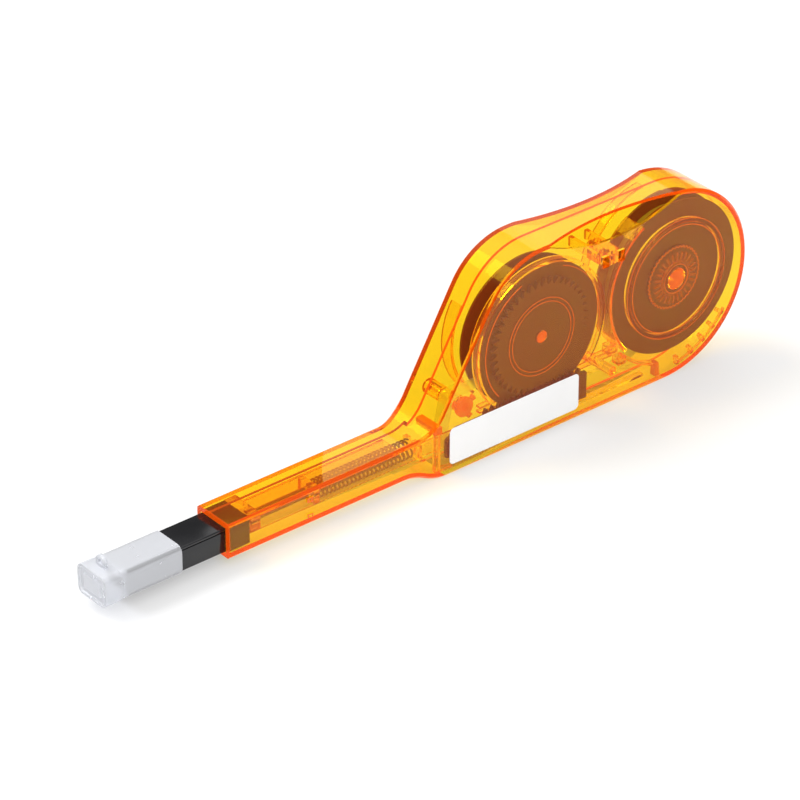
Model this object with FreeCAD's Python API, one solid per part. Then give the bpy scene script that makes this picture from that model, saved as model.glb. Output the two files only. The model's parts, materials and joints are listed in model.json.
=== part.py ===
"""Push-type cleaning pen for multi-fibre connectors, built as an assembly of separate pieces.

A two-part transparent casing stands on its narrow lower edge. Its arm points towards -X and holds a sliding
nose. Pushing the nose in drives a rack, which turns the front reel through a one-way pawl, so that clean tape
is drawn from the rear reel round the tip.

Sizes are millimetres. While the pieces are modelled, X = 0 is the mouth of the arm, Y = 0 the middle of the
casing and Z = 0 the surface it stands on. `place` then moves each piece so that the origin is the middle of
the footprint of the whole pen.
"""
import FreeCAD
import Part

import math
import os

from FreeCAD import Vector

# --- casing ---------------------------------------------------------------------------------------
BODY_HEIGHT = 62.0          # lower edge to crest
BODY_WIDTH = 18.0           # across both shells
FRONT_HUMP_X = 112.5        # where the front slope has curved over to the level crest
FRONT_HUMP_RADIUS = 23.0
SLOPE_ANGLE = 59.6          # front slope above the horizontal, degrees
SLOPE_FILLET = 13.0         # hollow curve from the arm's top to the slope
WALL = 1.6
EDGE_BEVEL = 0.8            # bevel of the outer long edges

ARM_WIDTH = 14.4
ARM_BOTTOM = 2.9            # arm's underside above the surface
ARM_HEIGHT = 11.3
FLARE_START = 63.0          # the arm begins to widen and deepen into the body
FLARE_END = 77.0

ARM_SEAM_Y = 2.3            # parting plane of the shells along the arm
BODY_SEAM_Y = 0.9           # parting plane along the body
SEAM_STEP_X = 70.4          # where the parting plane steps

SCOOP_CENTRE_X = 140.0      # finger scoops between the humps
SCOOP_HALF_LENGTH = 27.0
SCOOP_SIDE_DEPTH = 6.4      # down the side wall from the crest
SCOOP_TOP_DEPTH = 4.2       # in from the side along the crest

SNAP_X = 139.3              # snap fit between the humps: a boss on the near shell, hooks on the far one
SNAP_Z = 48.75
SNAP_BOSS_LENGTH = 3.5
SNAP_BOSS_HEIGHT = 4.6
SNAP_LEDGE = 0.6            # catch on each end of the boss
SNAP_LEDGE_Y = -4.4         # near face of the catch
SNAP_LEDGE_THICKNESS = 1.2
SNAP_HOOK_LENGTH = 1.3
SNAP_HOOK_HEIGHT = 3.0
SNAP_BARB = 0.7
SNAP_WINDOW_LENGTH = 2.5    # windows through the near wall, one beyond each end of the boss
SNAP_WINDOW_HEIGHT = 3.7
SNAP_GAP = 0.1

PAD_X = 27.6                # snap pads and notch near the arm's mouth
PAD_LENGTH = 2.0
PAD_HEIGHT = 1.4
PAD_PROUD = 0.3
PAD_FROM_BOTTOM = 2.4
PAD_FROM_TOP = 2.2
NOTCH_LENGTH = 1.6
NOTCH_WIDTH = 0.5
NOTCH_DEPTH = 1.2

# --- reels ----------------------------------------------------------------------------------------
AXLE_RAISE = 1.3            # both axles above the middle of the body's height
TAKE_UP_X = 113.0
REEL_SPACING = 4.7          # between the two reels' flanges
SUPPLY_SETBACK = 3.6        # rear axle behind the centre of the round rear end
TAKE_UP_FLOOR_ROOM = 9.5    # between the front reel and the surface
SUPPLY_CREST_ROOM = 3.4     # between the rear reel and the crest's inner face
TAKE_UP_AXLE_RADIUS = 1.9
SUPPLY_AXLE_RADIUS = 3.4
FLANGE_THICKNESS = 0.7
TAPE_WIDTH = 4.8
TAKE_UP_CORE_RADIUS = 7.0
SUPPLY_CORE_RADIUS = 8.6
TAKE_UP_TAPE_RADIUS = 9.0
SUPPLY_TAPE_INSET = 3.7     # full roll under the rear reel's flange
TAPE_SIDE_GAP = 0.1         # each side of the tape, between the flanges
HUB_RING_RADIUS = 10.3      # fine-toothed ring on the rear reel
HUB_RING_HEIGHT = 0.7
HUB_BOSS_WALL = 1.2         # ring that stands on the toothed one, round the axle
HUB_BOSS_HEIGHT = 0.5
HUB_RING_TEETH = 44
HUB_RING_TOOTH = 0.75

# --- drive ----------------------------------------------------------------------------------------
GEAR_MODULE = 0.8
GEAR_TEETH = 44
GEAR_THICKNESS = 1.3
GEAR_FACE_GAP = 0.2         # between the drive gear and the reel's near flange
BACKLASH = 0.3              # along the pitch line
TIP_CLEARANCE = 0.35        # tooth tip to tooth root
PAWL_RADIUS = 5.4
PAWL_THICKNESS = 0.8
PAWL_ARMS = 3
PAWL_ARM_WIDTH = 0.85
PAWL_ARM_SWEEP = 100.0      # from an arm's root to its tip, degrees
PAWL_ARM_ROOT = 0.5         # depth of the arm's root in the hub
PAWL_ROOT_ANGLE = 24.0      # width of the root round the hub
PAWL_BEND_INSET = 1.1       # middle of an arm inside the ratchet's inner circle
PAWL_TIP_ANGLE = 3.0        # between a tip and the steep side it rests against
PAWL_ENGAGEMENT = 0.55      # share of the ratchet's depth that a tip reaches into
PAWL_HUB_WALL = 1.3
PAWL_BOSS_WALL = 1.0
PAWL_BOSS_FLOOR = 0.3       # gear left under the boss
PAWL_FACE_GAP = 0.1         # between the pawl disc and the gear
RATCHET_TEETH = 15
RATCHET_DEPTH = 0.9
RACK_LENGTH = 53.0
RACK_FRONT_X = 78.0
RACK_TOOTH_START = 92.0
RACK_THICKNESS = 1.3
RACK_BOTTOM = 5.0
RACK_END_FLAT = 1.0         # left plain behind the last tooth
RACK_HEEL = 4.0             # slope at the rack's front end: length and drop
RACK_HEEL_DROP = 3.0
PRESSURE_ANGLE = 20.0
TAIL_PEG_RADIUS = 1.2       # peg that joins the rack to the carriage's tail
TAIL_PEG_INSET = 2.6        # its axis from the rack's front end
PEG_ROOT = 0.1
STROKE = 12.0               # travel of the nose into the arm

# --- nose, tip and cap ----------------------------------------------------------------------------
NOSE_WIDTH = 10.8
NOSE_HEIGHT = 7.8
NOSE_FRONT_X = -33.5
NOSE_REAR_X = 8.0
NOSE_WALL = 0.9
NOSE_COVER_THICKNESS = 0.8
NOSE_LIP = 0.35             # groove along the joint of the cover
NOSE_FILLET = 0.4
COVER_LIP = 0.6             # lips under the cover, square in section
COVER_LIP_INSET = 1.5       # from the tip's ends
TIP_WIDTH = 6.6
TIP_HEIGHT = 4.0
TIP_REAR_X = -4.0
TIP_INSET = 0.3             # the tip's front behind the nose's front
TIP_TURN = 1.1              # rounding that the tape turns on
TIP_KEY_LENGTH = 6.0        # side keys that seat the tip in the nose
TIP_KEY_HEIGHT = 1.6
TIP_KEY_INSET = 3.0
CAP_FRONT_X = -41.8
CAP_REAR_X = -15.4
CAP_WALL = 0.85
CAP_CORNER = 2.2
CAP_BEVEL = 0.6             # round the cap's front
CAP_RIM = 1.3               # rim round the panel in the cap's front
CAP_PANEL_DEPTH = 0.5
CAP_PANEL_CORNER = 1.8
CAP_FRONT_WALL = 1.2        # left between the panel and the pocket behind it
CAP_POCKET_STEP = 1.15      # the pocket is this much narrower than the cavity, each side
CAP_END_GAP = 1.0           # cap's inner end in front of the nose
EYE_INSET = 3.2             # behind the cap's front
EYE_WIDTH = 5.6
EYE_HEIGHT = 3.6
EYE_THICKNESS = 1.2
EYE_HOLE_RADIUS = 0.95

# --- carriage and spring --------------------------------------------------------------------------
SLIDE_GAP = 0.15            # each side of a sliding piece
CARRIAGE_WALL = 0.7
CARRIAGE_ROOF = 0.55
CARRIAGE_SKIRT = 4.6        # height of its side walls, roof included
CARRIAGE_FAR_Y = 2.1
CARRIAGE_END_X = 62.0       # end of the roof
CARRIAGE_BLOCK = 4.0        # cross block behind the nose
CARRIAGE_STOP = 2.0         # cross wall that the spring pushes on
CARRIAGE_TAIL = 6.0         # its near wall runs this far past the rack's front end
CARRIAGE_TONGUE = 8.0       # tongues pressed into the nose
CARRIAGE_TONGUE_WALL = 1.0
SPRING_FRONT_X = 33.0
SPRING_REAR_X = 69.0
SPRING_RADIUS = 2.0         # to the middle of the wire
WIRE_RADIUS = 0.3
SPRING_TURNS = 17
SPRING_STEPS = 8            # straight runs in one turn
SPRING_END_GAP = 0.05
SPRING_ROOF_GAP = 0.2       # between the spring and the carriage's roof
WIRE_SIDES = 4
SEAT_THICKNESS = 1.6
SEAT_SIDE_GAP = 0.2         # between the seat and the carriage's walls
SEAT_JOIN = 0.5             # the seat's upright reaches this far into its bridge
SEAT_TAPE_GAP = 0.25        # between the bridge and the tape under it
ROD_RADIUS = 0.8
ROD_END_X = 64.0
ROD_SEAT = 2.0              # rod's depth in the carriage's cross block

# --- tape -----------------------------------------------------------------------------------------
TAPE_THICKNESS = 0.1
TAPE_LOWER_Z = 6.05         # run to the tip, along the arm
TAPE_UPPER_Z = 6.95         # run from the tip
TAPE_STEP = 0.3             # fixed runs lie this far below the moving ones
TAPE_OVERLAP = 2.0
TAPE_LAY = 0.03             # between the tape and the tip or the roll it lies on
TAPE_GUIDE_GAP = 0.1        # between the tape and the peg, roller or roll that it leaves
TAPE_LEAVE = 1.0            # the loop leaves the tip, and its runs start, this far behind their ends
TAPE_PEG_GAP = 0.25         # between the peg and the middle of the tape under it
TAPE_PEG_RISE = 0.35        # the tape's climb under the peg
SUPPLY_LEAVE_ANGLE = 246.0  # where the tape leaves the rear roll, degrees
RETURN_RISE_X = 79.0        # used tape turns up here towards the guide roller

# --- guide roller, posts and ribs -----------------------------------------------------------------
ROLLER_X = 84.3
ROLLER_Z = 19.8
ROLLER_RADIUS = 2.4
ROLLER_POST_RADIUS = 1.3
ROLLER_PAST = 0.6           # beyond the tape's edges
SHAFT_GAP = 0.08            # radial clearance of a turning piece on its post
PRESS_GAP = 0.03            # radial clearance of joined posts and sockets
RIB = 1.0
RIB_GAP = 0.2               # between a rib's edge and what passes it
ROOT = 0.6                  # a post's or rib's root in the wall that carries it
POST_END_GAP = 1.5          # between a post's end and the far wall
REEL_END_GAP = 0.25         # between a reel and the socket beside it
TAKE_UP_SOCKET_WALL = 2.0
SUPPLY_SOCKET_WALL = 2.2
ROLLER_SOCKET_WALL = 1.1
SUPPLY_RING_RADIUS = 19.2   # round rib on the near wall, facing the rear reel
RING_WIDTH = 1.2
GUARD_GAP = 0.5             # rib round the front reel, between two angles
GUARD_START = -35
GUARD_END = 220
PARTITION_GAP = 0.6         # rib between the reels, round the rear one
PARTITION_START = 122
PARTITION_END = 222
PARTITION_SEAM_GAP = 1.0
RACK_GUIDE_INSET = 6.0      # the rail under the rack starts behind the rack's front end
RACK_GUIDE_PAST = 10.0      # and runs past its furthest reach
TAPE_PEG_X = 143.0
TAPE_PEG_Z = 8.2
TAPE_PEG_RADIUS = 1.5

# --- label ----------------------------------------------------------------------------------------
LABEL_X = 77.9
LABEL_Z = 3.4
LABEL_LENGTH = 48.9
LABEL_HEIGHT = 12.0
LABEL_CORNER = 1.5
LABEL_THICKNESS = 0.15

# --- places worked out from the sizes above -------------------------------------------------------
REAR_RADIUS = BODY_HEIGHT / 2
AXLE_Z = REAR_RADIUS + AXLE_RAISE
TAKE_UP_FLANGE_RADIUS = AXLE_Z - TAKE_UP_FLOOR_ROOM
SUPPLY_FLANGE_RADIUS = BODY_HEIGHT - WALL - AXLE_Z - SUPPLY_CREST_ROOM
SUPPLY_TAPE_RADIUS = SUPPLY_FLANGE_RADIUS - SUPPLY_TAPE_INSET
SUPPLY_X = TAKE_UP_X + TAKE_UP_FLANGE_RADIUS + REEL_SPACING + SUPPLY_FLANGE_RADIUS
REAR_CENTRE_X = SUPPLY_X - SUPPLY_SETBACK
HALF_BODY = BODY_WIDTH / 2
HALF_ARM = ARM_WIDTH / 2
ARM_TOP = ARM_BOTTOM + ARM_HEIGHT
BODY_INNER_Y = HALF_BODY - WALL
ARM_INNER_Y = HALF_ARM - WALL
ARM_FLOOR = ARM_BOTTOM + WALL
ARM_CEILING = ARM_TOP - WALL
MIDDLE_X = (CAP_FRONT_X + REAR_CENTRE_X + REAR_RADIUS) / 2

REEL_FAR_Y = BODY_SEAM_Y
TAPE_FAR_Y = REEL_FAR_Y - FLANGE_THICKNESS - TAPE_SIDE_GAP
TAPE_NEAR_Y = TAPE_FAR_Y - TAPE_WIDTH
TAPE_MID_Y = (TAPE_FAR_Y + TAPE_NEAR_Y) / 2
REEL_NEAR_Y = TAPE_NEAR_Y - TAPE_SIDE_GAP - FLANGE_THICKNESS
GEAR_FAR_Y = REEL_NEAR_Y - GEAR_FACE_GAP
GEAR_NEAR_Y = GEAR_FAR_Y - GEAR_THICKNESS

PITCH_RADIUS = GEAR_MODULE * GEAR_TEETH / 2
TOOTH_PITCH = math.pi * GEAR_MODULE
ADDENDUM = GEAR_MODULE
DEDENDUM = GEAR_MODULE + TIP_CLEARANCE
RACK_PITCH_Z = AXLE_Z - PITCH_RADIUS

NOSE_BOTTOM = ARM_FLOOR + SLIDE_GAP
NOSE_TOP = NOSE_BOTTOM + NOSE_HEIGHT
HALF_NOSE = NOSE_WIDTH / 2
CARRIAGE_NEAR_Y = -(ARM_INNER_Y - SLIDE_GAP)
CARRIAGE_TOP = ARM_CEILING - SLIDE_GAP
CARRIAGE_BOTTOM = CARRIAGE_TOP - CARRIAGE_SKIRT
SPRING_Y = (CARRIAGE_NEAR_Y + CARRIAGE_FAR_Y) / 2
SPRING_Z = CARRIAGE_TOP - CARRIAGE_ROOF - SPRING_ROOF_GAP - WIRE_RADIUS - SPRING_RADIUS
TIP_MID_Z = (NOSE_BOTTOM + NOSE_WALL + NOSE_TOP - NOSE_COVER_THICKNESS) / 2
FAR = 400.0                 # reaches past the whole pen
ON = 0.01                   # an edge this near a plane lies on it


# --- small helpers --------------------------------------------------------------------------------
def box(x0, x1, y0, y1, z0, z1):
    """Box between two corners."""
    return Part.makeBox(x1 - x0, y1 - y0, z1 - z0, Vector(x0, y0, z0))


def rod_y(x, z, radius, y0, y1):
    """Cylinder along Y."""
    return Part.makeCylinder(radius, y1 - y0, Vector(x, y0, z), Vector(0, 1, 0))


def ring_y(x, z, outer, inner, y0, y1):
    """Plain ring about an axis along Y."""
    return rod_y(x, z, outer, y0, y1).cut(rod_y(x, z, inner, y0 - 1, y1 + 1))


def prism_y(wire, y0, y1):
    """Solid between two Y planes from a closed wire in the plane Y = 0."""
    face = Part.Face(wire)
    face.translate(Vector(0, y0, 0))
    return face.extrude(Vector(0, y1 - y0, 0))


def polygon_xz(points):
    """Closed wire through points given as (x, z)."""
    corners = [Vector(x, 0, z) for x, z in points]
    return Part.makePolygon(corners + corners[:1])


def polar(x, z, radius, degrees):
    """Point at an angle round (x, z), as (x, z)."""
    angle = math.radians(degrees)
    return x + radius * math.cos(angle), z + radius * math.sin(angle)


def at(point):
    """Vector in the plane Y = 0 from (x, z)."""
    return Vector(point[0], 0, point[1])


def arc_rib(x, z, inner, outer, start, end, y0, y1):
    """Rib that follows part of a circle, between two angles in degrees."""
    middle = (start + end) / 2
    edges = [
        Part.Arc(*[at(polar(x, z, outer, a)) for a in (start, middle, end)]).toShape(),
        Part.makeLine(at(polar(x, z, outer, end)), at(polar(x, z, inner, end))),
        Part.Arc(*[at(polar(x, z, inner, a)) for a in (end, middle, start)]).toShape(),
        Part.makeLine(at(polar(x, z, inner, start)), at(polar(x, z, outer, start))),
    ]
    return prism_y(Part.Wire(edges), y0, y1)


def ogee(start, end):
    """Two equal arcs that ease a line along X from one offset to another."""
    run = end.x - start.x
    rise = Vector(0, end.y - start.y, end.z - start.z)
    size = rise.Length
    radius = (run ** 2 + size ** 2) / (4 * size)
    quarter = Vector(run / 4, 0, 0) + rise / size * (radius - math.sqrt(radius ** 2 - run ** 2 / 16))
    middle = (start + end) / 2
    return [Part.Arc(start, start + quarter, middle).toShape(), Part.Arc(middle, end - quarter, end).toShape()]


def fused(first, *rest):
    """Union of solids with its seams removed."""
    return first.fuse(list(rest)).removeSplitter()


def rounded_box(x0, x1, y0, y1, z0, z1, radius, axis):
    """Box whose edges along one axis are rounded."""
    solid = box(x0, x1, y0, y1, z0, z1)
    along = {"x": Vector(1, 0, 0), "y": Vector(0, 1, 0), "z": Vector(0, 0, 1)}[axis]
    edges = [e for e in solid.Edges if abs(e.tangentAt(0).dot(along)) > 0.99]
    return solid.makeFillet(radius, edges)


# --- casing ---------------------------------------------------------------------------------------
def side_profile(inset):
    """Outline of the casing seen from the side, moved inwards by a distance."""
    slope = math.radians(SLOPE_ANGLE)
    top = BODY_HEIGHT - inset
    arm_top = ARM_TOP - inset
    hump = (FRONT_HUMP_X, BODY_HEIGHT - FRONT_HUMP_RADIUS)
    hump_radius = FRONT_HUMP_RADIUS - inset
    fillet_radius = SLOPE_FILLET + inset
    slope_end = polar(*hump, hump_radius, 90 + SLOPE_ANGLE)
    corner_x = slope_end[0] - (slope_end[1] - arm_top) / math.tan(slope)
    reach = fillet_radius * math.tan(slope / 2)
    fillet_start = (corner_x - reach, arm_top)
    fillet_centre = (corner_x - reach, arm_top + fillet_radius)
    fillet_end = polar(*fillet_centre, fillet_radius, SLOPE_ANGLE - 90)
    rear = (REAR_CENTRE_X, REAR_RADIUS)
    rear_radius = REAR_RADIUS - inset
    mouth = -1.0 if inset else 0.0
    floor = [(FLARE_START, ARM_BOTTOM + inset), (FLARE_END, inset)]
    return Part.Wire([
        Part.makeLine(at((mouth, arm_top)), at((mouth, ARM_BOTTOM + inset))),
        Part.makeLine(at((mouth, ARM_BOTTOM + inset)), at(floor[0])),
        *ogee(at(floor[0]), at(floor[1])),
        Part.makeLine(at(floor[1]), at((rear[0], inset))),
        Part.Arc(*[at(polar(*rear, rear_radius, a)) for a in (-90, 0, 90)]).toShape(),
        Part.makeLine(at((rear[0], top)), at((hump[0], top))),
        Part.Arc(at((hump[0], top)), at(polar(*hump, hump_radius, 90 + SLOPE_ANGLE / 2)), at(slope_end)).toShape(),
        Part.makeLine(at(slope_end), at(fillet_end)),
        Part.Arc(at(fillet_end), at(polar(*fillet_centre, fillet_radius, SLOPE_ANGLE / 2 - 90)),
                 at(fillet_start)).toShape(),
        Part.makeLine(at(fillet_start), at((mouth, arm_top))),
    ])


def plan_prism(inset):
    """Upright prism over the casing's outline seen from above."""
    arm = HALF_ARM - inset
    body = HALF_BODY - inset
    mouth = -1.0 if inset else 0.0
    rear = REAR_CENTRE_X + REAR_RADIUS + 1

    def side(sign):
        return [
            Part.makeLine(Vector(mouth, sign * arm, 0), Vector(FLARE_START, sign * arm, 0)),
            *ogee(Vector(FLARE_START, sign * arm, 0), Vector(FLARE_END, sign * body, 0)),
            Part.makeLine(Vector(FLARE_END, sign * body, 0), Vector(rear, sign * body, 0)),
        ]

    edges = side(1) + side(-1)
    edges.append(Part.makeLine(Vector(mouth, -arm, 0), Vector(mouth, arm, 0)))
    edges.append(Part.makeLine(Vector(rear, -body, 0), Vector(rear, body, 0)))
    wire = Part.Wire(Part.__sortEdges__(edges))
    face = Part.Face(wire)
    face.translate(Vector(0, 0, -1))
    return face.extrude(Vector(0, 0, BODY_HEIGHT + 2))


def scoops(inset):
    """The two finger scoops as cylinders to cut away, kept a distance outside the scooped surface."""
    slant = math.hypot(SCOOP_SIDE_DEPTH, SCOOP_TOP_DEPTH)
    depth = SCOOP_SIDE_DEPTH * SCOOP_TOP_DEPTH / slant
    radius = (SCOOP_HALF_LENGTH ** 2 + depth ** 2) / (2 * depth)
    reach = radius * 2
    cutters = []
    for sign in (-1, 1):
        along = Vector(0, -sign * SCOOP_TOP_DEPTH, SCOOP_SIDE_DEPTH) / slant
        outwards = Vector(0, sign * SCOOP_SIDE_DEPTH, SCOOP_TOP_DEPTH) / slant
        edge = Vector(SCOOP_CENTRE_X, sign * HALF_BODY, BODY_HEIGHT - SCOOP_SIDE_DEPTH)
        centre = edge + outwards * radius - along * reach / 2
        cutters.append(Part.makeCylinder(radius + inset, reach, centre, along))
    return cutters


def casing_solid(inset):
    """The casing's outer form, or its hollow when moved inwards."""
    y = HALF_BODY - inset
    prism = prism_y(side_profile(inset), -y, y).common(plan_prism(inset))
    if not inset:
        prism = prism.makeChamfer(EDGE_BEVEL, long_edges(prism))
    return prism.cut(scoops(inset))


def long_edges(solid):
    """Edges that run round both sides of the casing, mouth and its corners left out."""
    chosen = []
    for edge in solid.Edges:
        bounds = edge.BoundBox
        at_side = min(abs(bounds.YMin), abs(bounds.YMax)) > HALF_ARM - ON and bounds.YMin * bounds.YMax > 0
        upright = bounds.XLength < ON
        if at_side and not upright:
            chosen.append(edge)
    return chosen


def near_region():
    """Space on the near side of the stepped parting plane."""
    arm = box(-FAR, SEAM_STEP_X, -FAR, ARM_SEAM_Y, -FAR, FAR)
    body = box(SEAM_STEP_X - 1, FAR, -FAR, BODY_SEAM_Y, -FAR, FAR)
    return fused(arm, body)


def near_features():
    """Posts, rings and ribs that stand on the near shell's inner face."""
    wall = -BODY_INNER_Y - ROOT
    post_end = BODY_INNER_Y - POST_END_GAP
    guard = TAKE_UP_FLANGE_RADIUS + GUARD_GAP
    partition = SUPPLY_FLANGE_RADIUS + PARTITION_GAP
    guide_top = RACK_BOTTOM - SLIDE_GAP
    return [
        rod_y(TAKE_UP_X, AXLE_Z, TAKE_UP_AXLE_RADIUS, wall, post_end),
        rod_y(SUPPLY_X, AXLE_Z, SUPPLY_AXLE_RADIUS, wall, post_end),
        rod_y(ROLLER_X, ROLLER_Z, ROLLER_POST_RADIUS, wall, post_end),
        ring_y(SUPPLY_X, AXLE_Z, SUPPLY_RING_RADIUS, SUPPLY_RING_RADIUS - RING_WIDTH, wall,
               REEL_NEAR_Y - RIB_GAP),
        arc_rib(TAKE_UP_X, AXLE_Z, guard, guard + RIB, GUARD_START, GUARD_END, wall, TAPE_NEAR_Y - RIB_GAP),
        arc_rib(SUPPLY_X, AXLE_Z, partition, partition + RIB, PARTITION_START, PARTITION_END, wall,
                BODY_SEAM_Y - PARTITION_SEAM_GAP),
        box(RACK_FRONT_X + RACK_GUIDE_INSET, RACK_FRONT_X + RACK_LENGTH + STROKE + RACK_GUIDE_PAST, wall,
            REEL_NEAR_Y - RIB_GAP, guide_top - RIB, guide_top),
    ]


def snap_boss():
    """Boss on the near shell with a catch on each end for the far shell's hooks."""
    half = SNAP_BOSS_LENGTH / 2
    low = SNAP_Z - SNAP_BOSS_HEIGHT / 2
    high = SNAP_Z + SNAP_BOSS_HEIGHT / 2
    core = box(SNAP_X - half, SNAP_X + half, -BODY_INNER_Y - ROOT, BODY_SEAM_Y - RIB_GAP, low, high)
    catch = box(SNAP_X - half - SNAP_LEDGE, SNAP_X + half + SNAP_LEDGE, SNAP_LEDGE_Y,
                SNAP_LEDGE_Y + SNAP_LEDGE_THICKNESS, low, high)
    return fused(core, catch)


def snap_windows():
    """Openings through the near wall, in line with the catches."""
    low = SNAP_Z - SNAP_WINDOW_HEIGHT / 2
    high = SNAP_Z + SNAP_WINDOW_HEIGHT / 2
    edge = SNAP_X + SNAP_BOSS_LENGTH / 2
    mirrored = 2 * SNAP_X - edge
    return [box(edge, edge + SNAP_WINDOW_LENGTH, -FAR, -BODY_INNER_Y, low, high),
            box(mirrored - SNAP_WINDOW_LENGTH, mirrored, -FAR, -BODY_INNER_Y, low, high)]


def snap_hooks():
    """Hooks on the far shell, with barbs that grip behind the catches."""
    low = SNAP_Z - SNAP_HOOK_HEIGHT / 2
    high = SNAP_Z + SNAP_HOOK_HEIGHT / 2
    barb_y = SNAP_LEDGE_Y - SNAP_GAP
    inner = SNAP_BOSS_LENGTH / 2 + SNAP_LEDGE + SNAP_GAP
    hooks = []
    for sign in (-1, 1):
        profile = [(inner, BODY_INNER_Y + ROOT), (inner, barb_y), (inner - SNAP_BARB, barb_y),
                   (inner, barb_y - 2 * SNAP_BARB), (inner + SNAP_HOOK_LENGTH, barb_y - 2 * SNAP_BARB),
                   (inner + SNAP_HOOK_LENGTH, BODY_INNER_Y + ROOT)]
        corners = [Vector(SNAP_X + sign * x, y, low) for x, y in profile]
        hooks.append(Part.Face(Part.makePolygon(corners + corners[:1])).extrude(Vector(0, 0, high - low)))
    return hooks


def spring_seat():
    """Forked bridge over the tape at the body end of the arm, which the return spring pushes against."""
    back = SPRING_REAR_X + SEAT_THICKNESS
    leg_top = CARRIAGE_BOTTOM - SLIDE_GAP
    inner = CARRIAGE_NEAR_Y + CARRIAGE_WALL + SEAT_SIDE_GAP
    outer = CARRIAGE_FAR_Y - CARRIAGE_WALL - SEAT_SIDE_GAP
    upright = box(SPRING_REAR_X, back, inner, outer, leg_top - SEAT_JOIN, SPRING_Z + SPRING_RADIUS)
    bridge = box(SPRING_REAR_X, back, -BODY_INNER_Y - ROOT, outer, TAPE_UPPER_Z + SEAT_TAPE_GAP, leg_top)
    slot = ROD_RADIUS + SLIDE_GAP
    fork = box(SPRING_REAR_X - 1, back + 1, SPRING_Y - slot, SPRING_Y + slot, SPRING_Z - slot, FAR)
    return fused(upright, bridge).cut(fork)


def arm_snaps():
    """Pads of the snap fit on the near side of the arm."""
    bottoms = (ARM_BOTTOM + PAD_FROM_BOTTOM, ARM_TOP - PAD_FROM_TOP - PAD_HEIGHT)
    return [box(PAD_X, PAD_X + PAD_LENGTH, -HALF_ARM - PAD_PROUD, -ARM_INNER_Y - WALL / 2, z, z + PAD_HEIGHT)
            for z in bottoms]


def near_shell(outer, hollow):
    """Casing half towards -Y."""
    features = [f.common(outer) for f in near_features() + [snap_boss(), spring_seat()]]
    shell = fused(outer.cut(hollow).common(near_region()), *features, *arm_snaps())
    label_bed = rounded_box(LABEL_X, LABEL_X + LABEL_LENGTH, -FAR, -HALF_BODY + LABEL_THICKNESS,
                            LABEL_Z, LABEL_Z + LABEL_HEIGHT, LABEL_CORNER, "y")
    return shell.cut([label_bed] + snap_windows())


def socket(x, z, post_radius, wall, start):
    """Tubular socket on the far shell that takes the end of a post."""
    return ring_y(x, z, post_radius + PRESS_GAP + wall, post_radius + PRESS_GAP, start, BODY_INNER_Y + ROOT)


def far_shell(outer, hollow):
    """Casing half towards +Y."""
    reel_socket = REEL_FAR_Y + REEL_END_GAP
    features = [
        socket(TAKE_UP_X, AXLE_Z, TAKE_UP_AXLE_RADIUS, TAKE_UP_SOCKET_WALL, reel_socket),
        socket(SUPPLY_X, AXLE_Z, SUPPLY_AXLE_RADIUS, SUPPLY_SOCKET_WALL, reel_socket),
        socket(ROLLER_X, ROLLER_Z, ROLLER_POST_RADIUS, ROLLER_SOCKET_WALL, BODY_SEAM_Y + RIB_GAP),
        rod_y(TAPE_PEG_X, TAPE_PEG_Z, TAPE_PEG_RADIUS, TAPE_NEAR_Y - RIB_GAP, BODY_INNER_Y + ROOT),
    ]
    shell = outer.cut(hollow).cut(near_region())
    shell = fused(shell, *[f.common(outer) for f in features + snap_hooks()])
    notch = box(PAD_X, PAD_X + NOTCH_LENGTH, HALF_ARM - NOTCH_WIDTH, FAR, ARM_TOP - NOTCH_DEPTH, FAR)
    return shell.cut(notch)


def label():
    """Bare sticker, flush in its shallow bed."""
    return rounded_box(LABEL_X, LABEL_X + LABEL_LENGTH, -HALF_BODY, -HALF_BODY + LABEL_THICKNESS, LABEL_Z,
                       LABEL_Z + LABEL_HEIGHT, LABEL_CORNER, "y")


# --- reels ----------------------------------------------------------------------------------------
def ratchet_wire(x, z, radius, teeth, depth):
    """Saw-toothed ring outline, its steep sides facing one way."""
    points = []
    for index in range(teeth):
        points.append(polar(x, z, radius + depth, 360 * index / teeth))
        points.append(polar(x, z, radius, 360 * index / teeth))
    return polygon_xz(points)


def reel(x, axle_radius, core_radius, flange_radius):
    """Moulded reel: a core between two flanges, its bore running on the axle post."""
    body = fused(
        rod_y(x, AXLE_Z, flange_radius, REEL_NEAR_Y, REEL_NEAR_Y + FLANGE_THICKNESS),
        rod_y(x, AXLE_Z, core_radius, REEL_NEAR_Y, REEL_FAR_Y),
        rod_y(x, AXLE_Z, flange_radius, REEL_FAR_Y - FLANGE_THICKNESS, REEL_FAR_Y),
    )
    return body.cut(rod_y(x, AXLE_Z, axle_radius + SHAFT_GAP, -FAR, FAR))


def tape_roll(x, core_radius, radius):
    """Tape wound on a core."""
    return ring_y(x, AXLE_Z, radius, core_radius + PRESS_GAP, TAPE_NEAR_Y, TAPE_FAR_Y)


def take_up_reel():
    """Front reel with the ratchet recess that the drive pawl works in."""
    blank = reel(TAKE_UP_X, TAKE_UP_AXLE_RADIUS, TAKE_UP_CORE_RADIUS, TAKE_UP_FLANGE_RADIUS)
    recess = prism_y(ratchet_wire(TAKE_UP_X, AXLE_Z, PAWL_RADIUS, RATCHET_TEETH, RATCHET_DEPTH),
                     REEL_NEAR_Y - 1, REEL_NEAR_Y + PAWL_THICKNESS + GEAR_FACE_GAP)
    return blank.cut(recess)


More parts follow.
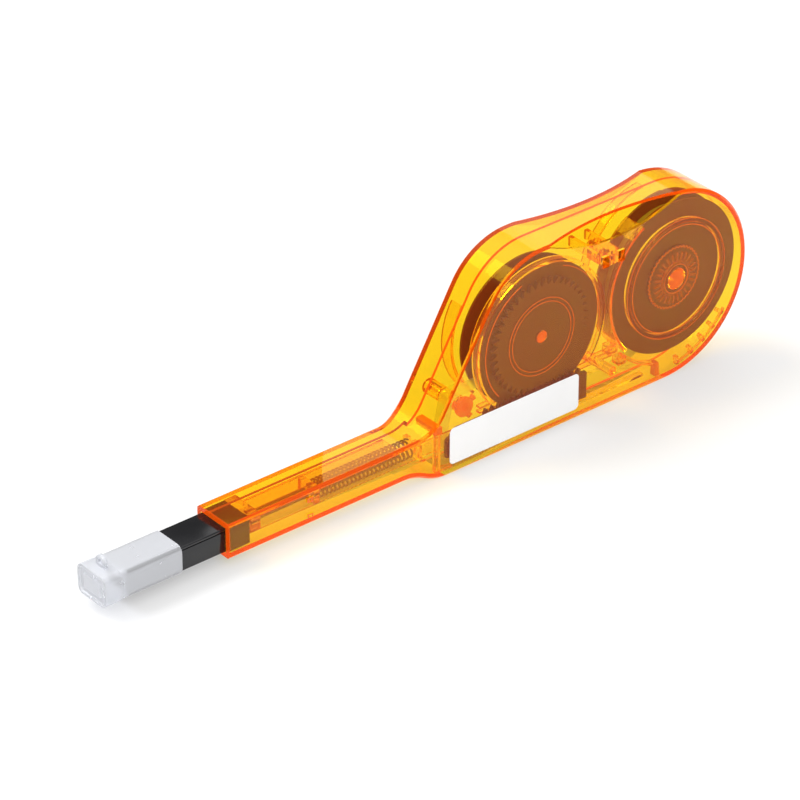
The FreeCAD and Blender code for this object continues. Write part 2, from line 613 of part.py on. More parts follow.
def supply_reel():
    """Rear reel with a fine-toothed ring and a boss on its near face."""
    blank = reel(SUPPLY_X, SUPPLY_AXLE_RADIUS, SUPPLY_CORE_RADIUS, SUPPLY_FLANGE_RADIUS)
    points = []
    for index in range(HUB_RING_TEETH):
        points.append(polar(SUPPLY_X, AXLE_Z, HUB_RING_RADIUS, 360 * index / HUB_RING_TEETH))
        points.append(polar(SUPPLY_X, AXLE_Z, HUB_RING_RADIUS - HUB_RING_TOOTH,
                            360 * (index + 0.5) / HUB_RING_TEETH))
    crown_near = REEL_NEAR_Y - HUB_RING_HEIGHT
    crown = prism_y(polygon_xz(points), crown_near, REEL_NEAR_Y + FLANGE_THICKNESS)
    boss = rod_y(SUPPLY_X, AXLE_Z, SUPPLY_AXLE_RADIUS + HUB_BOSS_WALL, crown_near - HUB_BOSS_HEIGHT, REEL_NEAR_Y)
    return fused(blank, crown, boss).cut(rod_y(SUPPLY_X, AXLE_Z, SUPPLY_AXLE_RADIUS + SHAFT_GAP, -FAR, FAR))


# --- drive ----------------------------------------------------------------------------------------
def drive_gear():
    """Thin spur gear on the near side of the front reel, a tooth gap facing straight down."""
    tip = PITCH_RADIUS + ADDENDUM
    root = PITCH_RADIUS - DEDENDUM
    flank = math.tan(math.radians(PRESSURE_ANGLE))
    half_pitch = (TOOTH_PITCH - BACKLASH) / 4
    step = 360 / GEAR_TEETH
    points = []
    for index in range(GEAR_TEETH):
        middle = -90 + step * (index + 0.5)
        for radius, sign in ((root, -1), (tip, -1), (tip, 1), (root, 1)):
            half_width = half_pitch - (radius - PITCH_RADIUS) * flank
            points.append(polar(TAKE_UP_X, AXLE_Z, radius, middle + sign * math.degrees(half_width / radius)))
    gear = prism_y(polygon_xz(points), GEAR_NEAR_Y, GEAR_FAR_Y)
    bore = rod_y(TAKE_UP_X, AXLE_Z, TAKE_UP_AXLE_RADIUS + SHAFT_GAP, -FAR, FAR)
    return gear.cut([bore, pawl_boss(PRESS_GAP)])


def pawl_boss(gap):
    """Square boss that joins the pawl disc to the gear, grown by a gap."""
    half = TAKE_UP_AXLE_RADIUS + PAWL_BOSS_WALL + gap
    return box(TAKE_UP_X - half, TAKE_UP_X + half, GEAR_NEAR_Y + PAWL_BOSS_FLOOR - gap,
               GEAR_FAR_Y + PAWL_FACE_GAP, AXLE_Z - half, AXLE_Z + half)


def drive_pawl():
    """Disc with curved spring arms whose tips rest against the ratchet's steep sides."""
    near = GEAR_FAR_Y + PAWL_FACE_GAP
    far = near + PAWL_THICKNESS
    hub_radius = TAKE_UP_AXLE_RADIUS + PAWL_HUB_WALL
    hub = rod_y(TAKE_UP_X, AXLE_Z, hub_radius, near, far)
    tip = PAWL_RADIUS + RATCHET_DEPTH * PAWL_ENGAGEMENT
    bend = PAWL_RADIUS - PAWL_BEND_INSET
    arms = []
    for index in range(PAWL_ARMS):
        turn = 360 * index / PAWL_ARMS - PAWL_TIP_ANGLE
        route = [(hub_radius - PAWL_ARM_ROOT, turn - PAWL_ARM_SWEEP), (bend, turn - PAWL_ARM_SWEEP / 2),
                 (tip, turn), (tip - PAWL_ARM_WIDTH, turn), (bend - PAWL_ARM_WIDTH, turn - PAWL_ARM_SWEEP / 2),
                 (hub_radius - PAWL_ARM_ROOT, turn - PAWL_ARM_SWEEP + PAWL_ROOT_ANGLE)]
        outline = [polar(TAKE_UP_X, AXLE_Z, radius, angle) for radius, angle in route]
        arms.append(prism_y(polygon_xz(outline), near, far))
    disc = fused(hub, *arms, pawl_boss(0.0))
    return disc.cut(rod_y(TAKE_UP_X, AXLE_Z, TAKE_UP_AXLE_RADIUS + SHAFT_GAP, -FAR, FAR))


def rack_bar():
    """Flat bar with the rack along its upper edge, clipped to the carriage's tail."""
    end = RACK_FRONT_X + RACK_LENGTH
    root = RACK_PITCH_Z - DEDENDUM
    tip = RACK_PITCH_Z + ADDENDUM
    flank = math.tan(math.radians(PRESSURE_ANGLE))
    half_pitch = (TOOTH_PITCH - BACKLASH) / 4
    first = math.ceil((RACK_TOOTH_START - TAKE_UP_X) / TOOTH_PITCH)
    last = math.floor((end - RACK_END_FLAT - TAKE_UP_X) / TOOTH_PITCH)
    points = [(RACK_FRONT_X, RACK_BOTTOM), (end, RACK_BOTTOM), (end, root)]
    for index in range(last, first - 1, -1):
        middle = TAKE_UP_X + TOOTH_PITCH * index
        for z, sign in ((root, 1), (tip, 1), (tip, -1), (root, -1)):
            points.append((middle + sign * (half_pitch - (z - RACK_PITCH_Z) * flank), z))
    points.append((RACK_FRONT_X + RACK_HEEL, root))
    points.append((RACK_FRONT_X, root - RACK_HEEL_DROP))
    bar = prism_y(polygon_xz(points), GEAR_NEAR_Y, GEAR_NEAR_Y + RACK_THICKNESS)
    peg = rod_y(*tail_peg(), TAIL_PEG_RADIUS, GEAR_NEAR_Y + RACK_THICKNESS - PEG_ROOT,
                CARRIAGE_NEAR_Y + CARRIAGE_WALL)
    return fused(bar, peg)


def tail_peg():
    """Place of the peg that joins the rack to the carriage's tail, as (x, z)."""
    return RACK_FRONT_X + TAIL_PEG_INSET, (CARRIAGE_TOP + CARRIAGE_BOTTOM) / 2


# --- nose, tip and cap ----------------------------------------------------------------------------
def nose_base():
    """Open-topped channel that slides in the arm."""
    top = NOSE_TOP - NOSE_COVER_THICKNESS
    outer = box(NOSE_FRONT_X, NOSE_REAR_X, -HALF_NOSE, HALF_NOSE, NOSE_BOTTOM, top)
    lower = [e for e in outer.Edges if e.BoundBox.ZMax < NOSE_BOTTOM + ON and e.BoundBox.XLength > 1]
    outer = outer.makeFillet(NOSE_FILLET, lower)
    inside = HALF_NOSE - NOSE_WALL
    groove = [box(-FAR, FAR, side, side + NOSE_LIP, top - NOSE_LIP, FAR)
              for side in (-HALF_NOSE, HALF_NOSE - NOSE_LIP)]
    return outer.cut([box(-FAR, FAR, -inside, inside, NOSE_BOTTOM + NOSE_WALL, FAR)] + groove)


def nose_cover():
    """Lid of the nose, with lips that locate inside the channel."""
    under = NOSE_TOP - NOSE_COVER_THICKNESS
    plate = box(NOSE_FRONT_X, NOSE_REAR_X, -HALF_NOSE, HALF_NOSE, under, NOSE_TOP)
    upper = [e for e in plate.Edges if e.BoundBox.ZMin > NOSE_TOP - ON and e.BoundBox.XLength > 1]
    plate = plate.makeFillet(NOSE_FILLET, upper)
    inside = HALF_NOSE - NOSE_WALL - PRESS_GAP
    lips = [box(NOSE_FRONT_X + COVER_LIP_INSET, TIP_REAR_X - COVER_LIP_INSET, side, side + COVER_LIP,
                under - COVER_LIP, NOSE_TOP - NOSE_FILLET)
            for side in (-inside, inside - COVER_LIP)]
    return fused(plate, *lips)


def tip_core():
    """Blade that the tape passes round, with side keys that seat it in the nose."""
    front = NOSE_FRONT_X + TIP_INSET
    blade = box(front, TIP_REAR_X, -TIP_WIDTH / 2, TIP_WIDTH / 2, TIP_MID_Z - TIP_HEIGHT / 2,
                TIP_MID_Z + TIP_HEIGHT / 2)
    edges = [e for e in blade.Edges if e.BoundBox.XMax < front + ON and e.BoundBox.YLength > 1]
    blade = blade.makeFillet(TIP_TURN, edges)
    inside = HALF_NOSE - NOSE_WALL - PRESS_GAP
    key_end = TIP_REAR_X - TIP_KEY_INSET
    key = box(key_end - TIP_KEY_LENGTH, key_end, -inside, inside, TIP_MID_Z - TIP_KEY_HEIGHT / 2,
              TIP_MID_Z + TIP_KEY_HEIGHT / 2)
    return fused(blade, key)


def cap():
    """Push-on cap with a panelled front and a strap eye."""
    half = HALF_NOSE + SLIDE_GAP + CAP_WALL
    bottom = NOSE_BOTTOM - SLIDE_GAP - CAP_WALL
    top = NOSE_TOP + SLIDE_GAP + CAP_WALL
    outer = rounded_box(CAP_FRONT_X, CAP_REAR_X, -half, half, bottom, top, CAP_CORNER, "x")
    front = [e for e in outer.Edges if e.BoundBox.XMax < CAP_FRONT_X + ON]
    outer = outer.makeChamfer(CAP_BEVEL, front)
    cavity_front = NOSE_FRONT_X - CAP_END_GAP
    cavity = box(cavity_front, FAR, -HALF_NOSE - SLIDE_GAP, HALF_NOSE + SLIDE_GAP,
                 NOSE_BOTTOM - SLIDE_GAP, NOSE_TOP + SLIDE_GAP)
    rim = CAP_BEVEL + CAP_RIM
    panel_back = CAP_FRONT_X + CAP_PANEL_DEPTH
    panel = rounded_box(CAP_FRONT_X - 1, panel_back, -half + rim, half - rim, bottom + CAP_RIM, top - CAP_RIM,
                        CAP_PANEL_CORNER, "x")
    core = CAP_WALL + CAP_POCKET_STEP
    pocket = box(panel_back + CAP_FRONT_WALL, cavity_front + 1, -half + core, half - core,
                 bottom + core, top - core)
    return fused(outer, cap_eye(top)).cut([cavity, panel, pocket])


def cap_eye(top):
    """Upright strap eye on the cap's top."""
    x0 = CAP_FRONT_X + EYE_INSET
    radius = EYE_WIDTH / 2
    centre = top + EYE_HEIGHT - radius
    root = top - CAP_WALL / 2
    disc = Part.makeCylinder(radius, EYE_THICKNESS, Vector(x0, 0, centre), Vector(1, 0, 0))
    foot = box(x0, x0 + EYE_THICKNESS, -radius, radius, root, centre)
    upper = disc.common(box(x0, x0 + EYE_THICKNESS, -radius, radius, root, FAR))
    hole = Part.makeCylinder(EYE_HOLE_RADIUS, EYE_THICKNESS + 2, Vector(x0 - 1, 0, centre), Vector(1, 0, 0))
    return fused(upper, foot).cut(hole)


# --- carriage and spring --------------------------------------------------------------------------
def carriage():
    """Slide bar over the spring: tongues in the nose, an inverted channel, and a tail beside the tape."""
    top = CARRIAGE_TOP
    bottom = CARRIAGE_BOTTOM
    near = CARRIAGE_NEAR_Y
    far = CARRIAGE_FAR_Y
    roof = top - CARRIAGE_ROOF
    tongue = HALF_NOSE - NOSE_WALL - PRESS_GAP
    tongue_top = NOSE_TOP - NOSE_COVER_THICKNESS - PRESS_GAP
    front = NOSE_REAR_X + PRESS_GAP
    rear = front + CARRIAGE_BLOCK
    pieces = [
        box(front, rear, near, -near, bottom, top),
        box(front, CARRIAGE_END_X, near, far, roof, top),
        box(front, RACK_FRONT_X + CARRIAGE_TAIL, near, near + CARRIAGE_WALL, bottom, top),
        box(front, CARRIAGE_END_X, far - CARRIAGE_WALL, far, bottom, top),
        box(SPRING_FRONT_X - CARRIAGE_STOP, SPRING_FRONT_X, near, far, bottom, top),
        box(front - CARRIAGE_TONGUE, rear, -tongue, -tongue + CARRIAGE_TONGUE_WALL, bottom, tongue_top),
        box(front - CARRIAGE_TONGUE, rear, tongue - CARRIAGE_TONGUE_WALL, tongue, bottom, tongue_top),
    ]
    hole_x, hole_z = tail_peg()
    holes = [
        Part.makeCylinder(ROD_RADIUS + PRESS_GAP, FAR, Vector(rear - ROD_SEAT, SPRING_Y, SPRING_Z),
                          Vector(1, 0, 0)),
        rod_y(hole_x, hole_z, TAIL_PEG_RADIUS + PRESS_GAP, -FAR, FAR),
    ]
    return fused(*pieces).cut(holes)


def spring_rod():
    """Rod fixed in the carriage, along the middle of the spring."""
    start = NOSE_REAR_X + PRESS_GAP + CARRIAGE_BLOCK - ROD_SEAT
    return Part.makeCylinder(ROD_RADIUS, ROD_END_X - start, Vector(start, SPRING_Y, SPRING_Z), Vector(1, 0, 0))


def return_spring():
    """Compression spring between the carriage's inner wall and the seat in the arm, swept in short runs."""
    start = SPRING_FRONT_X + WIRE_RADIUS + SPRING_END_GAP
    length = SPRING_REAR_X - WIRE_RADIUS - SPRING_END_GAP - start
    steps = SPRING_TURNS * SPRING_STEPS
    path = []
    for index in range(steps + 1):
        angle = 2 * math.pi * index / SPRING_STEPS
        path.append(Vector(start + length * index / steps, SPRING_Y + SPRING_RADIUS * math.cos(angle),
                           SPRING_Z + SPRING_RADIUS * math.sin(angle)))
    along = (path[1] - path[0]).normalize()
    across = along.cross(Vector(0, 1, 0)).normalize()
    section = []
    for index in range(WIRE_SIDES):
        angle = 2 * math.pi * index / WIRE_SIDES
        section.append(path[0] + across * WIRE_RADIUS * math.cos(angle)
                       + along.cross(across) * WIRE_RADIUS * math.sin(angle))
    sweep = Part.BRepOffsetAPI.MakePipeShell(Part.makePolygon(path))
    sweep.setTransitionMode(1)
    sweep.add(Part.makePolygon(section + section[:1]))
    sweep.build()
    sweep.makeSolid()
    return sweep.shape()


# --- tape -----------------------------------------------------------------------------------------
def ribbon(points, y0, y1):
    """Thin tape that follows points given as (x, z), its thickness measured square to each run."""
    half = TAPE_THICKNESS / 2
    above, below = [], []
    for index, (x, z) in enumerate(points):
        before = points[max(index - 1, 0)]
        after = points[min(index + 1, len(points) - 1)]
        runs = [unit(before, (x, z)), unit((x, z), after)]
        runs = [r for r in runs if r]
        across = (-sum(r[1] for r in runs), sum(r[0] for r in runs))
        size = math.hypot(*across)
        grow = half / (size / len(runs)) if len(runs) == 2 else half
        across = (across[0] / size * grow, across[1] / size * grow)
        above.append((x + across[0], z + across[1]))
        below.append((x - across[0], z - across[1]))
    return prism_y(polygon_xz(above + below[::-1]), y0, y1)


def unit(start, end):
    """Direction between two points, or None where they are the same."""
    size = math.hypot(end[0] - start[0], end[1] - start[1])
    if not size:
        return None
    return (end[0] - start[0]) / size, (end[1] - start[1]) / size


def skewed_ribbon(x0, x1, z, shift):
    """Level tape run that drifts sideways from the nose's middle by a distance."""
    half = TAPE_WIDTH / 2
    corners = [Vector(x0, -half, 0), Vector(x0, half, 0), Vector(x1, half + shift, 0),
               Vector(x1, -half + shift, 0)]
    face = Part.Face(Part.makePolygon(corners + corners[:1]))
    face.translate(Vector(0, 0, z - TAPE_THICKNESS / 2))
    return face.extrude(Vector(0, 0, TAPE_THICKNESS))


def nose_tape():
    """Loop round the tip, with its two runs back along the arm. It travels with the nose."""
    off = TIP_HEIGHT / 2 + TAPE_THICKNESS / 2 + TAPE_LAY
    front = NOSE_FRONT_X + TIP_INSET - TAPE_THICKNESS / 2 - TAPE_LAY
    half = TAPE_WIDTH / 2
    low = [(front + TIP_TURN * (1 - math.cos(a)), TIP_MID_Z - off + TIP_TURN * (1 - math.sin(a)))
           for a in (math.radians(d) for d in (0, 30, 60, 90))]
    high = [(x, 2 * TIP_MID_Z - z) for x, z in reversed(low)]
    leave = TIP_REAR_X + TAPE_LEAVE
    join = NOSE_REAR_X + TAPE_LEAVE
    loop = ribbon([(join, TAPE_UPPER_Z), (leave, TIP_MID_Z + off)] + high + low
                  + [(leave, TIP_MID_Z - off), (join, TAPE_LOWER_Z)], -half, half)
    runs = [skewed_ribbon(join - 2 * TAPE_THICKNESS, CARRIAGE_END_X, z, TAPE_MID_Y)
            for z in (TAPE_LOWER_Z, TAPE_UPPER_Z)]
    return loop.fuse(runs)


def supply_run():
    """Tape from the rear reel, under the peg, to the arm."""
    level = TAPE_LOWER_Z - TAPE_STEP
    peg_low = TAPE_PEG_Z - TAPE_PEG_RADIUS - TAPE_PEG_GAP
    leave = polar(SUPPLY_X, AXLE_Z, SUPPLY_TAPE_RADIUS + TAPE_GUIDE_GAP, SUPPLY_LEAVE_ANGLE)
    route = [(CARRIAGE_END_X - TAPE_OVERLAP, level), (RACK_FRONT_X, level),
             (TAPE_PEG_X - TAPE_PEG_RADIUS / 2, peg_low), (TAPE_PEG_X + TAPE_PEG_RADIUS, peg_low + TAPE_PEG_RISE),
             leave]
    return ribbon(route, TAPE_NEAR_Y, TAPE_FAR_Y)


def return_run():
    """Tape from the arm over the guide roller to the front reel."""
    level = TAPE_UPPER_Z - TAPE_STEP
    over = ROLLER_RADIUS + TAPE_THICKNESS / 2 + TAPE_GUIDE_GAP
    wrap = [polar(ROLLER_X, ROLLER_Z, over, a) for a in (165, 140, 115, 95)]
    take_up = (TAKE_UP_X, AXLE_Z - TAKE_UP_TAPE_RADIUS - TAPE_THICKNESS / 2 - TAPE_LAY)
    route = [(CARRIAGE_END_X - TAPE_OVERLAP, level), (RETURN_RISE_X, level)] + wrap + [take_up]
    return ribbon(route, TAPE_NEAR_Y, TAPE_FAR_Y)


def guide_roller():
    """Plain roller that turns on its post."""
    return ring_y(ROLLER_X, ROLLER_Z, ROLLER_RADIUS, ROLLER_POST_RADIUS + SHAFT_GAP, TAPE_NEAR_Y - ROLLER_PAST,
                  TAPE_FAR_Y + ROLLER_PAST)


# --- assembly -------------------------------------------------------------------------------------
def place(shape):
    """The same piece with the origin at the middle of the pen's footprint."""
    moved = shape.copy()
    moved.translate(Vector(-MIDDLE_X, 0, 0))
    return moved


def build():
    """Every piece by its node name."""
    outer = casing_solid(0.0)
    hollow = casing_solid(WALL)
    return {
        "near_shell": near_shell(outer, hollow),
        "far_shell": far_shell(outer, hollow),
        "label": label(),
        "nose_base": nose_base(),
        "nose_cover": nose_cover(),
        "tip_core": tip_core(),
        "cap": cap(),
        "carriage": carriage(),
        "spring_rod": spring_rod(),
        "return_spring": return_spring(),
        "rack_bar": rack_bar(),
        "drive_gear": drive_gear(),
        "drive_pawl": drive_pawl(),
        "take_up_reel": take_up_reel(),
        "take_up_tape": tape_roll(TAKE_UP_X, TAKE_UP_CORE_RADIUS, TAKE_UP_TAPE_RADIUS),
        "supply_reel": supply_reel(),
        "supply_tape": tape_roll(SUPPLY_X, SUPPLY_CORE_RADIUS, SUPPLY_TAPE_RADIUS),
        "guide_roller": guide_roller(),
        "nose_tape": nose_tape(),
        "supply_run": supply_run(),
        "return_run": return_run(),
    }


os.makedirs("parts", exist_ok=True)
for node, shape in build().items():
    place(shape).exportStep(f"parts/{node}.step")
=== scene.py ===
"""Looks of a push-type fibre connector cleaning pen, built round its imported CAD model.

The casing is clear orange plastic over two dark tape reels. A black nose slides in its arm, and a frosted cap
covers the tip. Sizes are in metres, in the frame of the CAD model.
"""

import json
import logging
import math
from collections.abc import Callable
from dataclasses import dataclass, field
from enum import Enum

import bmesh
import bpy
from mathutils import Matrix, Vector


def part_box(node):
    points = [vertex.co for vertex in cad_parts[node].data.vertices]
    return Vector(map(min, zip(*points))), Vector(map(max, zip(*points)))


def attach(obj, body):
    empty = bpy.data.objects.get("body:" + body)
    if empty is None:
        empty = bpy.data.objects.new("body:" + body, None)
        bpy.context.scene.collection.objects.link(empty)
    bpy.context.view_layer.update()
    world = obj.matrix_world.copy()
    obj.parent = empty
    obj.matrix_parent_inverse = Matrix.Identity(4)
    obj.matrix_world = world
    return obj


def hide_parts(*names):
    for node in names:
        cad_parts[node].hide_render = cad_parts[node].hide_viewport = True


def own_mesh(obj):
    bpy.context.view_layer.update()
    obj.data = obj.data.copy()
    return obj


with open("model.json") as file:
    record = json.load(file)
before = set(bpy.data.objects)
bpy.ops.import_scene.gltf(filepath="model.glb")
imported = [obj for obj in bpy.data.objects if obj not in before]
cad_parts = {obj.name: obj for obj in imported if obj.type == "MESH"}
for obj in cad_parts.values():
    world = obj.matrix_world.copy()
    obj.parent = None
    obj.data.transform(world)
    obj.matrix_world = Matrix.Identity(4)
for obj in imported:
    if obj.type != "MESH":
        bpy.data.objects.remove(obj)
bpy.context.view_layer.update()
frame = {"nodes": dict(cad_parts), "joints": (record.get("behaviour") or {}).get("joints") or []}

LOG = logging.getLogger("cleaning_pen")

Colour = tuple[float, float, float]
Point = Vector | tuple[float, float, float]


class Slot(Enum):
    """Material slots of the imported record."""

    CASING = "casing"
    BLACK = "black_plastic"
    REEL = "reel_plastic"
    CAP = "cap_plastic"
    TIP = "tip_plastic"
    STEEL = "steel"
    TAPE = "tape"
    LABEL = "label"


# --- finishes -------------------------------------------------------------------------------------------
class NodeKit:
    """A material's node tree with short calls to add and join nodes."""

    def __init__(self, name: str) -> None:
        """Starts a material with a Principled shader.

        Args:
            name: Name of the material.
        """
        self.material = bpy.data.materials.new(name)
        self.material.use_nodes = True
        self.tree = self.material.node_tree
        self.shader = self.tree.nodes["Principled BSDF"]
        self.output = self.tree.nodes["Material Output"]

    def add(self, kind: str, **inputs: object) -> bpy.types.Node:
        """Adds a node.

        Args:
            kind: Node type, without the ShaderNode prefix.
            inputs: Socket values by name, with underscores for spaces.

        Returns:
            The new node.
        """
        node = self.tree.nodes.new("ShaderNode" + kind)
        for key, value in inputs.items():
            node.inputs[key.replace("_", " ")].default_value = value
        return node

    def join(self, source: bpy.types.NodeSocket, target: bpy.types.NodeSocket) -> None:
        """Links two sockets."""
        self.tree.links.new(source, target)

    def set(self, **values: object) -> None:
        """Sets sockets of the Principled shader, with underscores for spaces."""
        for key, value in values.items():
            self.shader.inputs[key.replace("_", " ")].default_value = value

    def mix(self, share: bpy.types.NodeSocket, first: bpy.types.NodeSocket,
            second: bpy.types.NodeSocket) -> bpy.types.NodeSocket:
        """Mixes two shaders.

        Args:
            share: Share of the second one.
            first: Shader shown at 0.
            second: Shader shown at 1.

        Returns:
            The mixed shader.
        """
        node = self.add("MixShader")
        for socket, target in zip((share, first, second), node.inputs):
            self.join(socket, target)
        return node.outputs["Shader"]

    def math(self, operation: str, *values: bpy.types.NodeSocket | float) -> bpy.types.NodeSocket:
        """Adds a sum on sockets and numbers.

        Args:
            operation: Name of the operation.
            values: Sockets or numbers, in order.

        Returns:
            The result, kept from 0 to 1.
        """
        node = self.add("Math")
        node.operation = operation
        node.use_clamp = True
        for value, target in zip(values, node.inputs):
            if isinstance(value, bpy.types.NodeSocket):
                self.join(value, target)
            else:
                target.default_value = value
        return node.outputs["Value"]

    def noise(self, scale: float, detail: float = 2.0) -> bpy.types.NodeSocket:
        """Adds noise on Object coordinates.

        Args:
            scale: Cells for each metre.
            detail: Levels of finer noise.

        Returns:
            The noise's value.
        """
        place = self.add("TexCoord")
        noise = self.add("TexNoise", Scale=scale, Detail=detail)
        self.join(place.outputs["Object"], noise.inputs["Vector"])
        return noise.outputs["Fac"]

    def ramp(self, source: bpy.types.NodeSocket, low: tuple, high: tuple) -> bpy.types.NodeSocket:
        """Maps a value between two colours.

        Args:
            source: Value from 0 to 1.
            low: Colour, with alpha, at 0.3.
            high: Colour, with alpha, at 0.7.

        Returns:
            The mapped colour.
        """
        node = self.add("ValToRGB")
        node.color_ramp.elements[0].position = 0.3
        node.color_ramp.elements[1].position = 0.7
        node.color_ramp.elements[0].color = low
        node.color_ramp.elements[1].color = high
        self.join(source, node.inputs["Fac"])
        return node.outputs["Color"]

    def lamps(self) -> bpy.types.NodeSocket:
        """Adds the switch that lets light for other pieces through.

        Returns:
            1 for shadow and diffuse rays, and otherwise 0.
        """
        path = self.add("LightPath")
        return self.math("MAXIMUM", path.outputs["Is Shadow Ray"], path.outputs["Is Diffuse Ray"])

    def bump(self, height: bpy.types.NodeSocket, strength: float, distance: float) -> None:
        """Bumps the shader's surface.

        Args:
            height: Height from 0 to 1.
            strength: Share of the bump that shows.
            distance: Height in metres.
        """
        node = self.add("Bump", Strength=strength, Distance=distance)
        self.join(height, node.inputs["Height"])
        self.join(node.outputs["Normal"], self.shader.inputs["Normal"])


@dataclass(frozen=True)
class ClearPlastic:
    """Clear tinted plastic that bends light and loses colour with depth, with a painted glow on its haze, its chamfers
    and its mouth rim that stands in for light carried along the plastic.

    Light for other pieces passes straight through it, tinted, because bent light would leave the inside dark.
    """

    name: str
    scatter_and_glow: Colour
    haze: float
    rim: float
    haze_glow: float
    glow: Colour
    edge: float
    lit: float
    mouth: float
    film: Colour
    absorbed: Colour
    depth: float
    gloss: float = 0.1
    roughness: float = 0.0
    ior: float = 1.4
    ripple: float = 0.00002
    tint: Colour = (1.0, 0.76, 0.5)
    steepness: float = 3.4
    chamfer: tuple[float, float] = (0.6, 0.8)

    def build(self) -> bpy.types.Material:
        """Builds the material.

        Returns:
            The finished material.
        """
        kit = NodeKit(self.name)
        kit.set(Base_Color=(*self.film, 1.0), Roughness=self.roughness, IOR=self.ior, Transmission_Weight=1.0,
                Specular_IOR_Level=self.gloss, Specular_Tint=(*self.tint, 1.0))
        # The milk share is a diffuse haze that also gives off painted glow in its own orange.
        milk = kit.add("BsdfPrincipled", Base_Color=(*self.scatter_and_glow, 1.0), Roughness=0.2,
                       Specular_IOR_Level=self.gloss, Emission_Color=(*self.scatter_and_glow, 1.0),
                       Emission_Strength=self.haze_glow)
        # Painted glow on the chamfers and the mouth rim, standing in for light carried along the plastic.
        edge_glow = kit.add("BsdfPrincipled", Base_Color=(*self.glow, 1.0), Roughness=0.25,
                        Specular_IOR_Level=self.gloss, Emission_Color=(*self.glow, 1.0), Emission_Strength=self.lit)
        glass = kit.mix(self.share(kit), kit.shader.outputs["BSDF"], milk.outputs["BSDF"])
        edged = kit.mix(self.edges(kit), glass, edge_glow.outputs["BSDF"])
        clear = kit.add("BsdfTransparent", Color=(*self.film, 1.0))
        kit.join(kit.mix(kit.lamps(), edged, clear.outputs["BSDF"]), kit.output.inputs["Surface"])
        volume = kit.add("VolumeAbsorption", Color=(*self.absorbed, 1.0), Density=self.depth)
        kit.join(volume.outputs["Volume"], kit.output.inputs["Volume"])
        swell = kit.add("Bump", Strength=0.25, Distance=self.ripple)
        kit.join(kit.noise(90.0), swell.inputs["Height"])
        for node in (kit.shader, milk):
            kit.join(swell.outputs["Normal"], node.inputs["Normal"])
        return kit.material

    def share(self, kit: NodeKit) -> bpy.types.NodeSocket:
        """Adds the share of milky haze with painted glow, which grows on steep faces.

        Args:
            kit: The material's nodes.

        Returns:
            The share, from 0 to 1.
        """
        weight = kit.add("LayerWeight", Blend=0.5)
        steep = kit.math("POWER", weight.outputs["Facing"], self.steepness)
        return kit.math("MULTIPLY_ADD", steep, self.rim, self.haze)

    def edges(self, kit: NodeKit) -> bpy.types.NodeSocket:
        """Adds the share of painted glow, standing in for light carried along the plastic, on chamfers round the flat
        sides and on the rim of the mouth.

        Args:
            kit: The material's nodes.

        Returns:
            The share, from 0 to 1.
        """
        surface = kit.add("NewGeometry")
        split = kit.add("SeparateXYZ")
        kit.join(surface.outputs["True Normal"], split.inputs["Vector"])
        lean = kit.math("ABSOLUTE", split.outputs["Y"])
        least, most = self.chamfer
        band = kit.math("MULTIPLY", kit.math("GREATER_THAN", lean, least), kit.math("LESS_THAN", lean, most))
        place = kit.add("TexCoord")
        along = kit.add("SeparateXYZ")
        kit.join(place.outputs["Object"], along.inputs["Vector"])
        rim = kit.add("Math")
        rim.operation = "LESS_THAN"
        kit.join(along.outputs["X"], rim.inputs[0])
        rim.inputs[1].default_value = self.mouth
        either = kit.math("MAXIMUM", band, rim.outputs["Value"])
        return kit.math("MULTIPLY", either, self.edge)


@dataclass(frozen=True)
class PaintedEdgeGlow:
    """Edges and post ends of clear plastic, made bright by painted glow that stands in for the light the plastic
    carries to them.
    """

    name: str
    colour: Colour
    lit: float
    cover: float

    def build(self) -> bpy.types.Material:
        """Builds the material.

        Returns:
            The finished material.
        """
        kit = NodeKit(self.name)
        darker = tuple(0.8 * c for c in self.colour)
        kit.join(kit.ramp(kit.noise(400.0), (*darker, 1.0), (*self.colour, 1.0)), kit.shader.inputs["Base Color"])
        # The emission is painted glow on the edge.
        kit.set(Roughness=0.3, Alpha=self.cover, Emission_Color=(*self.colour, 1.0), Emission_Strength=self.lit)
        kit.bump(kit.noise(2500.0), 0.1, 0.000005)
        return kit.material


@dataclass(frozen=True)
class FrostedPlastic:
    """Milky moulded plastic that lets light through but blurs what lies behind, with a faint painted glow on its milky
    share.
    """

    name: str
    colour: Colour
    roughness: float
    milk: float
    rim: float
    lit: float = 0.06
    steepness: float = 3.0

    def build(self) -> bpy.types.Material:
        """Builds the material.

        Returns:
            The finished material.
        """
        kit = NodeKit(self.name)
        kit.set(Base_Color=(*self.colour, 1.0), IOR=1.3, Transmission_Weight=1.0)
        low, high = self.roughness, self.roughness + 0.1
        cloud = kit.noise(300.0, 3.0)
        kit.join(kit.ramp(cloud, (low, low, low, 1.0), (high, high, high, 1.0)), kit.shader.inputs["Roughness"])
        kit.bump(kit.noise(1800.0), 0.1, 0.000002)
        # The milk share gives off a faint painted glow in the cap's colour.
        milk = kit.add("BsdfPrincipled", Base_Color=(*self.colour, 1.0), Roughness=0.35,
                       Emission_Color=(*self.colour, 1.0), Emission_Strength=self.lit)
        weight = kit.add("LayerWeight", Blend=0.5)
        steep = kit.math("POWER", weight.outputs["Facing"], self.steepness)
        share = kit.math("MULTIPLY_ADD", steep, self.rim, self.milk)
        body = kit.mix(share, kit.shader.outputs["BSDF"], milk.outputs["BSDF"])
        clear = kit.add("BsdfTransparent", Color=(*self.colour, 1.0))
        kit.join(kit.mix(kit.lamps(), body, clear.outputs["BSDF"]), kit.output.inputs["Surface"])
        return kit.material


